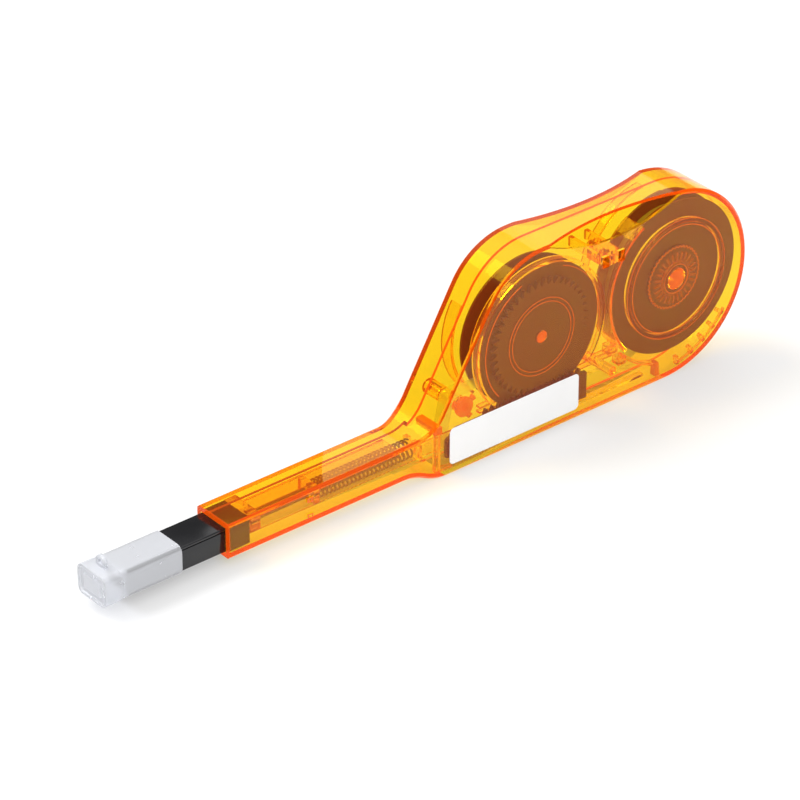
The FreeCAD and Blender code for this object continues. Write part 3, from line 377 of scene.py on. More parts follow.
@dataclass(frozen=True)
class SolidPlastic:
    """Opaque moulded plastic with fine variation in colour and gloss."""

    name: str
    dark: Colour
    light: Colour
    roughness: tuple[float, float]
    grain: float = 900.0
    bump: float = 0.00002
    gloss: float = 0.5

    def build(self) -> bpy.types.Material:
        """Builds the material.

        Returns:
            The finished material.
        """
        kit = NodeKit(self.name)
        patches = kit.noise(60.0, 3.0)
        kit.join(kit.ramp(patches, (*self.dark, 1.0), (*self.light, 1.0)), kit.shader.inputs["Base Color"])
        low, high = self.roughness
        kit.join(kit.ramp(patches, (low, low, low, 1.0), (high, high, high, 1.0)), kit.shader.inputs["Roughness"])
        kit.set(Specular_IOR_Level=self.gloss)
        kit.bump(kit.noise(self.grain, 4.0), 0.3, self.bump)
        return kit.material


@dataclass(frozen=True)
class Metal:
    """Bright drawn wire."""

    name: str
    colour: Colour
    roughness: float

    def build(self) -> bpy.types.Material:
        """Builds the material.

        Returns:
            The finished material.
        """
        kit = NodeKit(self.name)
        kit.set(Base_Color=(*self.colour, 1.0), Metallic=1.0, Roughness=self.roughness)
        kit.bump(kit.noise(4000.0), 0.2, 0.00001)
        return kit.material


@dataclass(frozen=True)
class WovenTape:
    """Fine woven cleaning tape."""

    name: str
    colour: Colour
    thread: float
    cover: float = 0.4

    def build(self) -> bpy.types.Material:
        """Builds the material.

        Returns:
            The finished material.
        """
        kit = NodeKit(self.name)
        place = kit.add("TexCoord")
        wave = kit.add("TexWave", Scale=1.0 / self.thread, Distortion=0.4)
        kit.join(place.outputs["Object"], wave.inputs["Vector"])
        darker = tuple(0.86 * c for c in self.colour)
        kit.join(kit.ramp(wave.outputs["Fac"], (*darker, 1.0), (*self.colour, 1.0)), kit.shader.inputs["Base Color"])
        kit.set(Roughness=0.7, Sheen_Weight=0.3, Alpha=self.cover)
        kit.bump(wave.outputs["Fac"], 0.4, 0.00002)
        return kit.material


FINISHES = {
    Slot.CASING: ClearPlastic(
        "clear_orange", scatter_and_glow=(1.0, 0.15, 0.01), haze=0.026, rim=0.34, haze_glow=1.3, glow=(1.0, 0.1, 0.002), edge=0.4,
        lit=0.25, mouth=-0.07505, film=(0.95, 0.9, 0.84), absorbed=(0.9985, 0.958, 0.0), depth=1100.0),
    Slot.BLACK: SolidPlastic("gloss_black", (0.006, 0.006, 0.007), (0.011, 0.011, 0.013), (0.12, 0.2), gloss=0.5),
    Slot.REEL: SolidPlastic("dark_reel", (0.075, 0.004, 0.1), (0.1, 0.006, 0.13), (0.35, 0.5)),
    Slot.CAP: FrostedPlastic("frosted", (0.8, 0.81, 0.84), 0.18, 0.42, 0.42),
    Slot.TIP: SolidPlastic("grey_tip", (0.2, 0.2, 0.22), (0.26, 0.26, 0.28), (0.4, 0.55)),
    Slot.STEEL: Metal("spring_steel", (0.13, 0.12, 0.11), 0.3),
    Slot.TAPE: WovenTape("cleaning_tape", (0.86, 0.86, 0.9), 0.0004),
    Slot.LABEL: SolidPlastic("sticker", (0.95, 0.95, 0.95), (0.99, 0.99, 0.99), (0.35, 0.45), 2500.0, 0.00001),
}
# Painted glow for thin casing edges, rings, post ends and pad borders.
EDGE_GLOW = PaintedEdgeGlow("piped_edge", (1.0, 0.16, 0.03), 0.1, 0.72)


class Paint:
    """The finishes, built once and given to nodes and pieces."""

    def __init__(self) -> None:
        """Builds every finish."""
        self.made = {slot: finish.build() for slot, finish in FINISHES.items()}
        self.glow = EDGE_GLOW.build()

    def node(self, name: str, slot: Slot) -> bpy.types.Object:
        """Gives a CAD node its finish.

        Args:
            name: Name of the node.
            slot: Slot whose finish it takes.

        Returns:
            The node's object.
        """
        obj = frame["nodes"][name]
        obj.data.materials.clear()
        obj.data.materials.append(self.made[slot])
        LOG.info("node %s: %s", name, slot.value)
        return obj

    def edge(self, obj: bpy.types.Object, body: str) -> bpy.types.Object:
        """Finishes a thin piece of the casing as an edge with painted glow.

        Args:
            obj: The piece.
            body: Body that it rides on.

        Returns:
            The piece.
        """
        self.piece(obj, Slot.CASING, body)
        obj.data.materials[0] = self.glow
        return obj

    def piece(self, obj: bpy.types.Object, slot: Slot, body: str, *nodes: str) -> bpy.types.Object:
        """Finishes a new piece and lets it ride on a body.

        Args:
            obj: The piece.
            slot: Slot whose finish it takes.
            body: Body that it rides on.
            nodes: CAD nodes that it stands for.

        Returns:
            The piece.
        """
        obj.data.materials.clear()
        obj.data.materials.append(self.made[slot])
        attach(obj, body)
        if nodes:
            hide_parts(*nodes)
        LOG.info("piece %s on %s", obj.name, body)
        return obj


# --- modelling ------------------------------------------------------------------------------------------
@dataclass(frozen=True)
class Axle:
    """Place of an axle along Y, in metres."""

    x: float
    z: float

    def at(self, radius: float, angle: float, y: float) -> Vector:
        """Point round the axle.

        Args:
            radius: Distance from the axle.
            angle: Angle above +X, in degrees.
            y: Height along the axle.

        Returns:
            The point.
        """
        turn = math.radians(angle)
        return Vector((self.x + radius * math.cos(turn), y, self.z + radius * math.sin(turn)))


class Shaper:
    """A new piece on the bench: a primitive shaped by mesh operators until it is finished."""

    def __init__(self, name: str) -> None:
        """Takes over the primitive that was just added.

        Args:
            name: Name of the piece.
        """
        self.obj = bpy.context.object
        self.obj.name = name
        self.obj.data.name = name
        bpy.ops.object.transform_apply(location=True, rotation=True, scale=True)

    @classmethod
    def block(cls, name: str, low: Point, high: Point) -> "Shaper":
        """Starts from a cube between two corners.

        Args:
            name: Name of the piece.
            low: Lowest corner.
            high: Highest corner.

        Returns:
            The piece.
        """
        deselect()
        low, high = Vector(low), Vector(high)
        bpy.ops.mesh.primitive_cube_add(size=1.0, location=(low + high) / 2)
        bpy.context.object.scale = high - low
        return cls(name)

    @classmethod
    def disc(cls, name: str, axle: Axle, radius: float, near: float, far: float, corners: int = 96) -> "Shaper":
        """Starts from a cylinder along Y.

        Args:
            name: Name of the piece.
            axle: Its axis.
            radius: Its radius.
            near: Lower end along Y.
            far: Upper end along Y.
            corners: Corners round it.

        Returns:
            The piece.
        """
        deselect()
        bpy.ops.mesh.primitive_cylinder_add(
            vertices=corners, radius=radius, depth=far - near, end_fill_type="NGON",
            location=(axle.x, (near + far) / 2, axle.z), rotation=(math.pi / 2, 0.0, 0.0))
        return cls(name)

    @classmethod
    def arc(cls, name: str, axle: Axle, radii: tuple[float, float], angles: tuple[float, float],
            near: float, far: float) -> "Shaper":
        """Starts from a rectangle and spins it round an axle.

        Args:
            name: Name of the piece.
            axle: Its axis.
            radii: Inner and outer radius.
            angles: First and last angle above +X, in degrees.
            near: Lower side along Y.
            far: Upper side along Y.

        Returns:
            The piece.
        """
        deselect()
        inner, outer = radii
        start, end = angles
        bpy.ops.mesh.primitive_plane_add(
            size=1.0, location=axle.at((inner + outer) / 2, start, (near + far) / 2),
            rotation=(0.0, -math.radians(start), 0.0))
        bpy.context.object.scale = (outer - inner, far - near, 1.0)
        piece = cls(name)
        piece.edit()
        bpy.ops.mesh.select_all(action="SELECT")
        bpy.ops.mesh.spin(steps=max(6, int(abs(end - start) / 2.5)), angle=math.radians(end - start),
                          center=(axle.x, 0.0, axle.z), axis=(0.0, 1.0, 0.0))
        piece.tidy()
        return piece

    def edit(self) -> None:
        """Goes into edit mode with nothing selected."""
        bpy.context.view_layer.objects.active = self.obj
        bpy.ops.object.mode_set(mode="EDIT")
        bpy.ops.mesh.select_mode(type="FACE")
        bpy.ops.mesh.select_all(action="DESELECT")

    def pick(self, test: Callable[[bmesh.types.BMFace], bool]) -> None:
        """Selects faces in edit mode.

        Args:
            test: Says whether a face is selected.
        """
        self.edit()
        mesh = bmesh.from_edit_mesh(self.obj.data)
        mesh.normal_update()
        for face in mesh.faces:
            face.select_set(test(face))
        bmesh.update_edit_mesh(self.obj.data)

    def pick_vertices(self, test: Callable[[bmesh.types.BMVert], bool]) -> None:
        """Selects vertices in edit mode.

        Args:
            test: Says whether a vertex is selected.
        """
        self.edit()
        bpy.ops.mesh.select_mode(type="VERT")
        mesh = bmesh.from_edit_mesh(self.obj.data)
        for vertex in mesh.verts:
            vertex.select_set(test(vertex))
        mesh.select_flush_mode()
        bmesh.update_edit_mesh(self.obj.data)

    def pick_edges(self, test: Callable[[bmesh.types.BMEdge], bool]) -> None:
        """Selects edges in edit mode.

        Args:
            test: Says whether an edge is selected.
        """
        self.edit()
        bpy.ops.mesh.select_mode(type="EDGE")
        mesh = bmesh.from_edit_mesh(self.obj.data)
        for edge in mesh.edges:
            edge.select_set(test(edge))
        bmesh.update_edit_mesh(self.obj.data)

    def long_edges(self, direction: Point, width: float, segments: int) -> None:
        """Rounds the edges that run along a direction, and stays in edit mode.

        Args:
            direction: Their direction.
            width: Width of the rounding.
            segments: Faces across it.
        """
        axis = Vector(direction)
        self.pick_edges(lambda edge: abs((edge.verts[0].co - edge.verts[1].co).normalized().dot(axis)) > 0.95)
        bpy.ops.mesh.bevel(offset=width, segments=segments, affect="EDGES")

    def facing(self, direction: Point) -> None:
        """Selects the faces that point along a direction.

        Args:
            direction: Direction of their normals.
        """
        axis = Vector(direction)
        self.pick(lambda face: face.normal.dot(axis) > 0.95)

    def inset(self, thickness: float, depth: float = 0.0) -> None:
        """Insets the selected faces, and sinks them by a depth."""
        bpy.ops.mesh.inset(thickness=thickness, depth=-depth, use_boundary=True)

    def push(self, move: Point) -> None:
        """Extrudes the selected faces by a move."""
        bpy.ops.mesh.extrude_region_move(TRANSFORM_OT_translate={"value": tuple(move)})

    def draw(self, scale: Point, centre: Point) -> None:
        """Scales the selection about a centre."""
        bpy.ops.transform.resize(value=tuple(scale), center_override=tuple(centre))

    def bore(self, thickness: float) -> None:
        """Bores a hole along Y, and leaves a wall of a thickness round it."""
        self.pick(lambda face: abs(face.normal.y) > 0.95)
        self.inset(thickness)
        bpy.ops.mesh.bridge_edge_loops()
        self.tidy()

    def tidy(self) -> None:
        """Merges doubles, turns all faces outwards and leaves edit mode."""
        bpy.ops.mesh.select_all(action="SELECT")
        bpy.ops.mesh.remove_doubles(threshold=1e-6)
        bpy.ops.mesh.normals_make_consistent(inside=False)
        bpy.ops.object.mode_set(mode="OBJECT")

    def round(self, width: float, segments: int = 2, angle: float = 35.0) -> None:
        """Rounds the sharp edges.

        Args:
            width: Width of the rounding.
            segments: Faces across it.
            angle: Least angle of a sharp edge, in degrees.
        """
        bevel = self.obj.modifiers.new("soft_edges", "BEVEL")
        bevel.width = width
        bevel.segments = segments
        bevel.limit_method = "ANGLE"
        bevel.angle_limit = math.radians(angle)

    def finish(self, smooth: float = 30.0) -> bpy.types.Object:
        """Applies the modifiers and smooths the shading.

        Args:
            smooth: Greatest angle that is shaded smooth, in degrees.

        Returns:
            The finished object, at the origin.
        """
        deselect()
        self.obj.select_set(True)
        bpy.context.view_layer.objects.active = self.obj
        for modifier in list(self.obj.modifiers):
            bpy.ops.object.modifier_apply(modifier=modifier.name)
        bpy.ops.object.transform_apply(location=True, rotation=True, scale=True)
        bpy.ops.object.shade_smooth_by_angle(angle=math.radians(smooth))
        deselect()
        return self.obj


def deselect() -> None:
    """Leaves edit mode and deselects everything."""
    if bpy.context.object and bpy.context.object.mode != "OBJECT":
        bpy.ops.object.mode_set(mode="OBJECT")
    bpy.ops.object.select_all(action="DESELECT")


def softened(node: str, name: str, width: float) -> Shaper:
    """Copies a CAD node and rounds its edges.

    Args:
        node: The node.
        name: Name of the copy.
        width: Width of the rounding.

    Returns:
        The copy, not yet finished.
    """
    deselect()
    copy = bpy.data.objects.new(name, frame["nodes"][node].data.copy())
    if "custom_normal" in copy.data.attributes:
        copy.data.attributes.remove(copy.data.attributes["custom_normal"])
    bpy.context.scene.collection.objects.link(copy)
    bpy.context.view_layer.objects.active = copy
    copy.select_set(True)
    piece = Shaper(name)
    piece.edit()
    bpy.ops.mesh.select_all(action="SELECT")
    bpy.ops.mesh.remove_doubles(threshold=1e-6)
    bpy.ops.mesh.dissolve_limited(angle_limit=math.radians(0.5))
    piece.tidy()
    piece.round(width, 2, 40.0)
    return piece


def joint_axle(name: str) -> Axle:
    """Finds the axle of a turning joint.

    Args:
        name: Name of the joint.

    Returns:
        Its axle.
    """
    place = next(joint["pos_m"] for joint in frame["joints"] if joint["name"] == name)
    return Axle(place[0], place[2])


# --- casing ---------------------------------------------------------------------------------------------
@dataclass
class CasingRibs:
    """Moulded ribs, rings and bosses inside the clear casing."""

    wall: float = 0.0016
    front_ring: tuple[float, float] = (0.0112, 0.0124)
    edge_height: float = 0.00018
    pad_face: float = -0.00752
    pad_place: float = 0.02725
    pad_size: tuple[float, float] = (0.002, 0.0014)
    pad_bottoms: tuple[float, float] = (0.0053, 0.0106)
    far_guard_radii: tuple[float, float] = (0.0233, 0.0243)
    far_guard_angles: tuple[float, float] = (148.0, 226.0)
    far_arc_radii: tuple[float, float] = (0.0252, 0.0260)
    far_arc_angles: tuple[float, float] = (96.0, 168.0)
    ladder_angles: tuple[float, ...] = (-37.0, -47.0, -57.0, -67.5, -79.0)
    ladder_radii: tuple[float, float] = (0.0262, 0.0291)
    ladder_height: float = 0.0015
    soft: float = 0.00014
    paint: Paint = field(init=False)
    near: float = field(init=False)
    far: float = field(init=False)
    floor: float = field(init=False)
    mouth: float = field(init=False)
    front: Axle = field(init=False)
    rear: Axle = field(init=False)
    centre: Axle = field(init=False)

    def build(self, paint: Paint) -> None:
        """Builds every rib.

        Args:
            paint: The finishes.
        """
        self.paint = paint
        low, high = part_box("near_shell")
        self.near = low.y + self.wall
        self.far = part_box("far_shell")[1].y - self.wall
        self.floor = low.z + self.wall
        self.mouth = low.x
        self.front = joint_axle("take_up_turn")
        self.rear = joint_axle("supply_turn")
        self.centre = Axle(high.x - high.z / 2, high.z / 2)
        self.rings()
        self.far_ribs()
        self.ladder()
        self.bulkhead()
        self.partition_foot()
        self.lugs()
        self.roller_boss()
        self.pads()

    def done(self, piece: Shaper, lit: bool = False) -> None:
        """Rounds, finishes and paints a rib.

        Args:
            piece: The rib.
            lit: Whether it is short and thick, and so gets the painted edge glow.
        """
        piece.round(self.soft, 1)
        if lit:
            self.paint.edge(piece.finish(), "casing")
        else:
            self.paint.piece(piece.finish(), Slot.CASING, "casing")

    def rings(self) -> None:
        """Adds thin edges on the near wall, bright with painted glow: rings, post ends, the guard and the partition.
        """
        for name, axle, radius, width in self.ring_edges():
            piece = Shaper.disc(name, axle, radius, self.near, self.near + self.edge_height, 128)
            piece.bore(width)
            piece.round(self.edge_height / 3, 1)
            self.paint.edge(piece.finish(), "casing")
        for name, axle, radii, angles in self.arc_edges():
            piece = Shaper.arc(name, axle, radii, angles, self.near, self.near + self.edge_height)
            piece.round(self.edge_height / 3, 1)
            self.paint.edge(piece.finish(), "casing")
        for name, axle, radius in (("front_post_end", self.front, 0.00175), ("rear_post_end", self.rear, 0.0031)):
            piece = Shaper.disc(name, axle, radius, self.near, self.near + self.edge_height, 64)
            piece.facing((0, 1, 0))
            piece.inset(0.3 * radius, self.edge_height / 2)
            piece.tidy()
            self.paint.edge(piece.finish(), "casing")

    def ring_edges(self) -> tuple[tuple[str, Axle, float, float], ...]:
        """Lists the round edges: name, axle, radius and width."""
        inner, outer = self.front_ring
        return (("front_ring_outer", self.front, outer, 0.00022), ("front_ring_inner", self.front, inner, 0.00022),
                ("rear_ring_outer", self.rear, 0.01935, 0.0002), ("rear_ring_inner", self.rear, 0.0174, 0.0003),
                ("rear_post_ring", self.rear, 0.0047, 0.0002))

    def arc_edges(self) -> tuple[tuple[str, Axle, tuple[float, float], tuple[float, float]], ...]:
        """Lists the curved edges: name, axle, radii and angles."""
        return (("guard_edge_inner", self.front, (0.0210, 0.0213), (112.0, 221.0)),
                ("guard_edge_outer", self.front, (0.0244, 0.0246), (160.0, 219.0)),
                ("guard_edge_right", self.front, (0.0220, 0.0222), (-34.0, 70.0)),
                ("partition_edge", self.rear, (0.0254, 0.0261), (124.0, 222.0)))

    def far_ribs(self) -> None:
        """Adds the ribs of the far wall: a guard round the front reel, an arc over the rear one and a floor rail."""
        self.done(Shaper.arc("far_guard", self.front, self.far_guard_radii, self.far_guard_angles,
                             self.far - 0.0045, self.far))
        self.done(Shaper.arc("far_arc", self.rear, self.far_arc_radii, self.far_arc_angles,
                             self.far - 0.0030, self.far))
        left, right = self.front.x - 0.012, self.front.x + 0.0395
        for name, height in (("far_rail_low", 0.0047), ("far_rail_high", 0.0064)):
            piece = Shaper.block(name, (left, self.far - 0.0018, height), (right, self.far, height + 0.0009))
            piece.facing((0, -1, 0))
            piece.draw((1.0, 1.0, 0.7), (0.0, 0.0, height + 0.00045))
            piece.tidy()
            self.done(piece)

    def ladder(self) -> None:
        """Adds the stiffening ribs under the rear reel and the band that joins them."""
        inner, outer = self.ladder_radii
        half = math.degrees(0.00065 / outer)
        for index, angle in enumerate(self.ladder_angles):
            self.done(Shaper.arc(f"rear_rib_{index + 1}", self.centre, (inner, outer),
                                 (angle - half, angle + half), self.near, self.near + self.ladder_height))
        self.done(Shaper.arc("rear_band", self.centre, (0.0279, 0.0287),
                             (self.ladder_angles[-1], self.ladder_angles[0] + 3), self.near,
                             self.near + self.ladder_height / 2))

    def bulkhead(self) -> None:
        """Adds the web and cross bar where the arm meets the body."""
        left = self.mouth + 0.0735
        web = Shaper.block("arm_web", (left, self.near, self.floor), (left + 0.0019, self.near + 0.0016, 0.0146))
        web.facing((0, 1, 0))
        web.draw((0.8, 1.0, 1.0), (left + 0.00095, 0.0, 0.0))
        web.tidy()
        self.done(web)
        bar = Shaper.block("arm_cross_bar", (left - 0.0001, self.near, 0.0143), (left + 0.0025, 0.0004, 0.0167))
        bar.facing((0, 1, 0))
        bar.inset(0.0004, 0.0005)
        bar.tidy()
        # The cross bar gets the painted edge glow.
        self.done(bar, lit=True)
        foot = Shaper.block("arm_web_foot", (left + 0.0019, self.near, self.floor),
                            (left + 0.0062, self.near + 0.0022, self.floor + 0.0009))
        foot.facing((1, 0, 0))
        foot.draw((1.0, 0.6, 1.0), (0.0, self.near, 0.0))
        foot.tidy()
        self.done(foot)

    def partition_foot(self) -> None:
        """Adds the lower end of the rib between the reels, which runs out to the floor in a hook."""
        reach = self.near + 0.0024
        self.done(Shaper.arc("partition_foot", self.rear, (0.0268, 0.0278), (224.0, 256.0), self.near, reach))
        corner = self.rear.at(0.0273, 256.0, 0.0)
        hook = Shaper.block("partition_hook", (corner.x - 0.0004, self.near, self.floor),
                            (corner.x + 0.0007, reach, corner.z + 0.0004))
        hook.facing((0, 0, -1))
        hook.draw((1.6, 1.0, 1.0), (corner.x, 0.0, self.floor))
        hook.tidy()
        # The hook gets the painted edge glow.
        self.done(hook, lit=True)

    def lugs(self) -> None:
        """Adds the two hollow square lugs beside the tape's peg."""
        for name, place, size in (("peg_lug_front", (0.1390, 0.0159), (0.0037, 0.0031)),
                                  ("peg_lug_rear", (0.1431, 0.0109), (0.0030, 0.0026))):
            left, bottom = self.mouth + place[0], place[1]
            lug = Shaper.block(name, (left, self.near, bottom), (left + size[0], self.near + 0.0030, bottom + size[1]))
            lug.facing((0, 1, 0))
            lug.inset(0.0007)
            lug.push((0.0, -0.0026, 0.0))
            lug.tidy()
            self.done(lug)

    def roller_boss(self) -> None:
        """Adds the stepped boss and its ears that hold the guide roller's axle."""
        axle = joint_axle("roller_turn")
        near = self.near
        boss = Shaper.disc("roller_boss", axle, 0.0031, near, near + 0.0012, 48)
        boss.facing((0, 1, 0))
        boss.inset(0.0007, 0.0004)
        boss.tidy()
        # The boss gets the painted edge glow.
        self.done(boss, lit=True)
        # The ears get the painted edge glow.
        for index, angle in enumerate((-60.0, 30.0, 150.0)):
            self.done(Shaper.arc(f"roller_ear_{index + 1}", axle, (0.0032, 0.0044),
                                 (angle - 12, angle + 12), near, near + 0.0013), lit=True)

    def pads(self) -> None:
        """Adds the borders of the two snap pads on the arm, bright with painted glow."""
        left = self.mouth + self.pad_place
        for name, bottom in zip(("arm_pad_low", "arm_pad_high"), self.pad_bottoms):
            border = Shaper.block(name, (left, self.pad_face - self.edge_height, bottom),
                                  (left + self.pad_size[0], self.pad_face, bottom + self.pad_size[1]))
            border.bore(0.00032)
            border.round(self.edge_height / 3, 1)
            self.paint.edge(border.finish(), "casing")


@dataclass
class GuideRoller:
    """Roller that turns the tape upwards to the front reel."""

    bore_radius: float = 0.00138
    bead: float = 0.00016

    def build(self, paint: Paint) -> None:
        """Builds the roller in the CAD roller's box.

        Args:
            paint: The finishes.
        """
        low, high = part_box("guide_roller")
        axle = joint_axle("roller_turn")
        radius = (high.x - low.x) / 2
        piece = Shaper.disc("guide_roller_turned", axle, radius, low.y, high.y, 64)
        piece.bore(radius - self.bore_radius)
        piece.edit()
        for share in (0.1, 0.16, 0.84, 0.9):
            bpy.ops.mesh.select_all(action="SELECT")
            bpy.ops.mesh.bisect(plane_co=(0, low.y + share * (high.y - low.y), 0), plane_no=(0, 1, 0))
        for first, last in ((0.1, 0.16), (0.84, 0.9)):
            y0, y1 = (low.y + share * (high.y - low.y) for share in (first, last))
            piece.pick(lambda face: y0 < face.calc_center_median().y < y1
                       and (face.calc_center_median() - Vector((axle.x, face.calc_center_median().y, axle.z))).length
                       > radius * 0.8)
            bpy.ops.mesh.inset(thickness=0.00003, depth=-self.bead)
        piece.tidy()
        piece.round(0.00008)
        paint.piece(piece.finish(), Slot.CASING, "roller", "guide_roller")


# --- reels ----------------------------------------------------------------------------------------------
@dataclass
class SupplyHub:
    """Crown of small radial teeth and a raised ring, on the near side of the rear reel's toothed hub."""

    teeth: int = 26
    tooth: tuple[float, float] = (0.0058, 0.0083)
    tooth_angle: float = 6.5
    ring: tuple[float, float] = (0.0047, 0.0055)
    band_radius: float = 0.0103
    band_teeth: int = 44
    band_tooth: float = 0.0007
    band_width: float = 0.00035
    seat: float = 0.0005
    height: float = 0.0009

    def build(self, paint: Paint) -> None:
        """Builds the crown and ring.

        Args:
            paint: The finishes.
        """
        axle = joint_axle("supply_turn")
        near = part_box("supply_reel")[0].y + self.seat - self.height
        far = near + self.height + 0.0001
        crown = Shaper.arc("supply_crown", axle, self.tooth, (0.0, self.tooth_angle), near, far)
        crown.facing((0, -1, 0))
        crown.draw((0.9, 1.0, 0.6), axle.at(sum(self.tooth) / 2, self.tooth_angle / 2, 0.0))
        bpy.ops.mesh.select_all(action="SELECT")
        bpy.ops.mesh.spin(steps=self.teeth - 1, dupli=True, angle=-2 * math.pi * (self.teeth - 1) / self.teeth,
                          center=(axle.x, 0.0, axle.z), axis=(0.0, 1.0, 0.0))
        crown.tidy()
        crown.round(0.00012, 1)
        paint.piece(crown.finish(), Slot.CASING, "supply")
        inner, outer = self.ring
        ring = Shaper.disc("supply_hub_ring", axle, outer, near, far)
        ring.bore(outer - inner)
        ring.round(0.00013, 1)
        paint.piece(ring.finish(), Slot.CASING, "supply")
        self.band(paint, axle, far - 0.0002, far)

    def band(self, paint: Paint, axle: Axle, near: float, far: float) -> None:
        """Builds the toothed band round the crown, bright with painted glow.

        Args:
            paint: The finishes.
            axle: The reel's axle.
            near: Its near side.
            far: Its far side.
        """
        band = Shaper.disc("supply_toothed_band", axle, self.band_radius, near, far, 2 * self.band_teeth)
        step = math.pi / self.band_teeth
        band.pick_vertices(
            lambda vertex: round(math.atan2(vertex.co.z - axle.z, vertex.co.x - axle.x) / step) % 2 == 0)
        ratio = 1 - self.band_tooth / self.band_radius
        band.draw((ratio, 1.0, ratio), (axle.x, 0.0, axle.z))
        bpy.ops.object.mode_set(mode="OBJECT")
        band.pick(lambda face: abs(face.normal.y) > 0.95)
        bpy.ops.mesh.inset(thickness=0.00001)
        share = 1 - self.band_width / self.band_radius
        band.draw((share, 1.0, share), (axle.x, 0.0, axle.z))
        bpy.ops.mesh.bridge_edge_loops()
        band.tidy()
        paint.edge(band.finish(), "supply")


# --- nose and cap ---------------------------------------------------------------------------------------
@dataclass
class Nose:
    """Black sliding nose and its cover, with rounded moulded edges."""

    soft: float = 0.00022

    def build(self, paint: Paint) -> None:
        """Builds both halves.

        Args:
            paint: The finishes.
        """
        for node in ("nose_base", "nose_cover"):
            piece = softened(node, f"{node}_moulded", self.soft)
            paint.piece(piece.finish(), Slot.BLACK, "slider", node)


@dataclass
class Cap:
    """Frosted push-on cap: a rounded head with a sunk front panel, a thinner sleeve and an upright strap eye."""

    wall: float = 0.00085
    corner: float = 0.0022
    head: float = 0.0056
    sleeve_inset: float = 0.00018
    panel_rim: float = 0.0009
    panel_depth: float = 0.0005
    cushion: tuple[float, float] = (0.74, 0.68)
    front_wall: float = 0.0012
    pocket: tuple[float, float] = (0.8, 0.74)
    eye_height: float = 0.0036
    eye_back: float = 0.0032
    eye_width: float = 0.0042
    eye_thickness: float = 0.0012
    eye_wall: float = 0.0011

    def build(self, paint: Paint) -> None:
        """Builds the cap and its eye.

        Args:
            paint: The finishes.
        """
        low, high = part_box("cap")
        top = high.z - self.eye_height
        self.shell(paint, low, Vector((high.x, high.y, top)))
        self.eye(paint, low, high, top)

    def shell(self, paint: Paint, low: Vector, high: Vector) -> None:
        """Builds the head, sleeve and cavity.

        Args:
            paint: The finishes.
            low: Lowest corner.
            high: Highest corner, without the eye.
        """
        middle = (low + high) / 2
        piece = Shaper.block("cap_shell", low, high)
        piece.long_edges(Vector((1, 0, 0)), self.corner, 6)
        split = low.x + self.head
        for offset in (0.0, 0.0003):
            bpy.ops.mesh.select_all(action="SELECT")
            bpy.ops.mesh.bisect(plane_co=(split + offset, 0, 0), plane_no=(1, 0, 0))
        piece.pick_vertices(lambda vertex: vertex.co.x > split + 0.0002)
        size = high - low
        piece.draw((1.0, 1 - 2 * self.sleeve_inset / size.y, 1 - 2 * self.sleeve_inset / size.z), middle)
        piece.facing((-1, 0, 0))
        piece.inset(self.panel_rim)
        piece.inset(0.0002, self.panel_depth)
        piece.inset(0.00002)
        piece.draw((1.0, *self.cushion), middle)
        piece.inset(0.0003, -0.0003)
        piece.facing((1, 0, 0))
        piece.inset(self.wall - self.sleeve_inset)
        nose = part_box("nose_base")[0].x
        piece.push((nose - 0.001 - high.x, 0.0, 0.0))
        piece.inset(0.00002)
        piece.draw((1.0, *self.pocket), middle)
        piece.push((low.x + self.panel_depth + self.front_wall - nose + 0.001, 0.0, 0.0))
        piece.tidy()
        piece.round(0.0003, 3, 28.0)
        paint.piece(piece.finish(), Slot.CAP, "cap", "cap")

    def eye(self, paint: Paint, low: Vector, high: Vector, top: float) -> None:
        """Builds the strap eye.

        Args:
            paint: The finishes.
            low: Lowest corner of the cap.
            high: Highest corner of the cap.
            top: Height of the cap's flat top.
        """
        left = low.x + self.eye_back
        half = self.eye_width / 2
        piece = Shaper.block("cap_eye", (left, -half, top - 0.0002), (left + self.eye_thickness, half, high.z))
        piece.pick_edges(lambda edge: abs((edge.verts[0].co - edge.verts[1].co).x) > 0.0005
                         and edge.verts[0].co.z > top + 0.001)
        bpy.ops.mesh.bevel(offset=half * 0.95, segments=8, affect="EDGES")
        piece.pick(lambda face: abs(face.normal.x) > 0.95)
        bpy.ops.mesh.inset(thickness=self.eye_wall)
        bpy.ops.mesh.bridge_edge_loops()
        piece.tidy()
        piece.round(0.0002, 2, 40.0)
        paint.piece(piece.finish(), Slot.CAP, "cap", "cap")


# --- spring ---------------------------------------------------------------------------------------------
@dataclass
class ReturnSpring:
    """Compression spring round the guide rod."""

    wire_radius: float = 0.0003
    turns: int = 24
    steps: int = 24

    def build(self, paint: Paint) -> None:
        """Builds the spring in the CAD spring's box.

        Args:
            paint: The finishes.
        """
        low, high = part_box("return_spring")
        centre = (low + high) / 2
        radius = (high.z - low.z) / 2 - self.wire_radius
        length = high.x - low.x - 2 * self.wire_radius
        deselect()
        bpy.ops.mesh.primitive_circle_add(
            vertices=8, radius=self.wire_radius, fill_type="NOTHING",
            location=(low.x + self.wire_radius, centre.y, centre.z + radius), rotation=(math.pi / 2, 0.0, 0.0))
        coil = Shaper("return_spring_coil")
        axis = bpy.data.objects.new("spring_axis", None)
        axis.location = (low.x + self.wire_radius, centre.y, centre.z)
        bpy.context.scene.collection.objects.link(axis)
        screw = coil.obj.modifiers.new("coil", "SCREW")
        screw.object = axis
        screw.axis = "X"
        screw.angle = 2 * math.pi
        screw.screw_offset = length / self.turns
        screw.iterations = self.turns
        screw.steps = screw.render_steps = self.steps
        wire = coil.finish(80.0)
        bpy.data.objects.remove(axis)
        coil.edit()
        bpy.ops.mesh.select_all(action="SELECT")
        bpy.ops.mesh.fill_holes(sides=8)
        coil.tidy()
        paint.piece(wire, Slot.STEEL, "casing", "return_spring")
        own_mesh(wire)


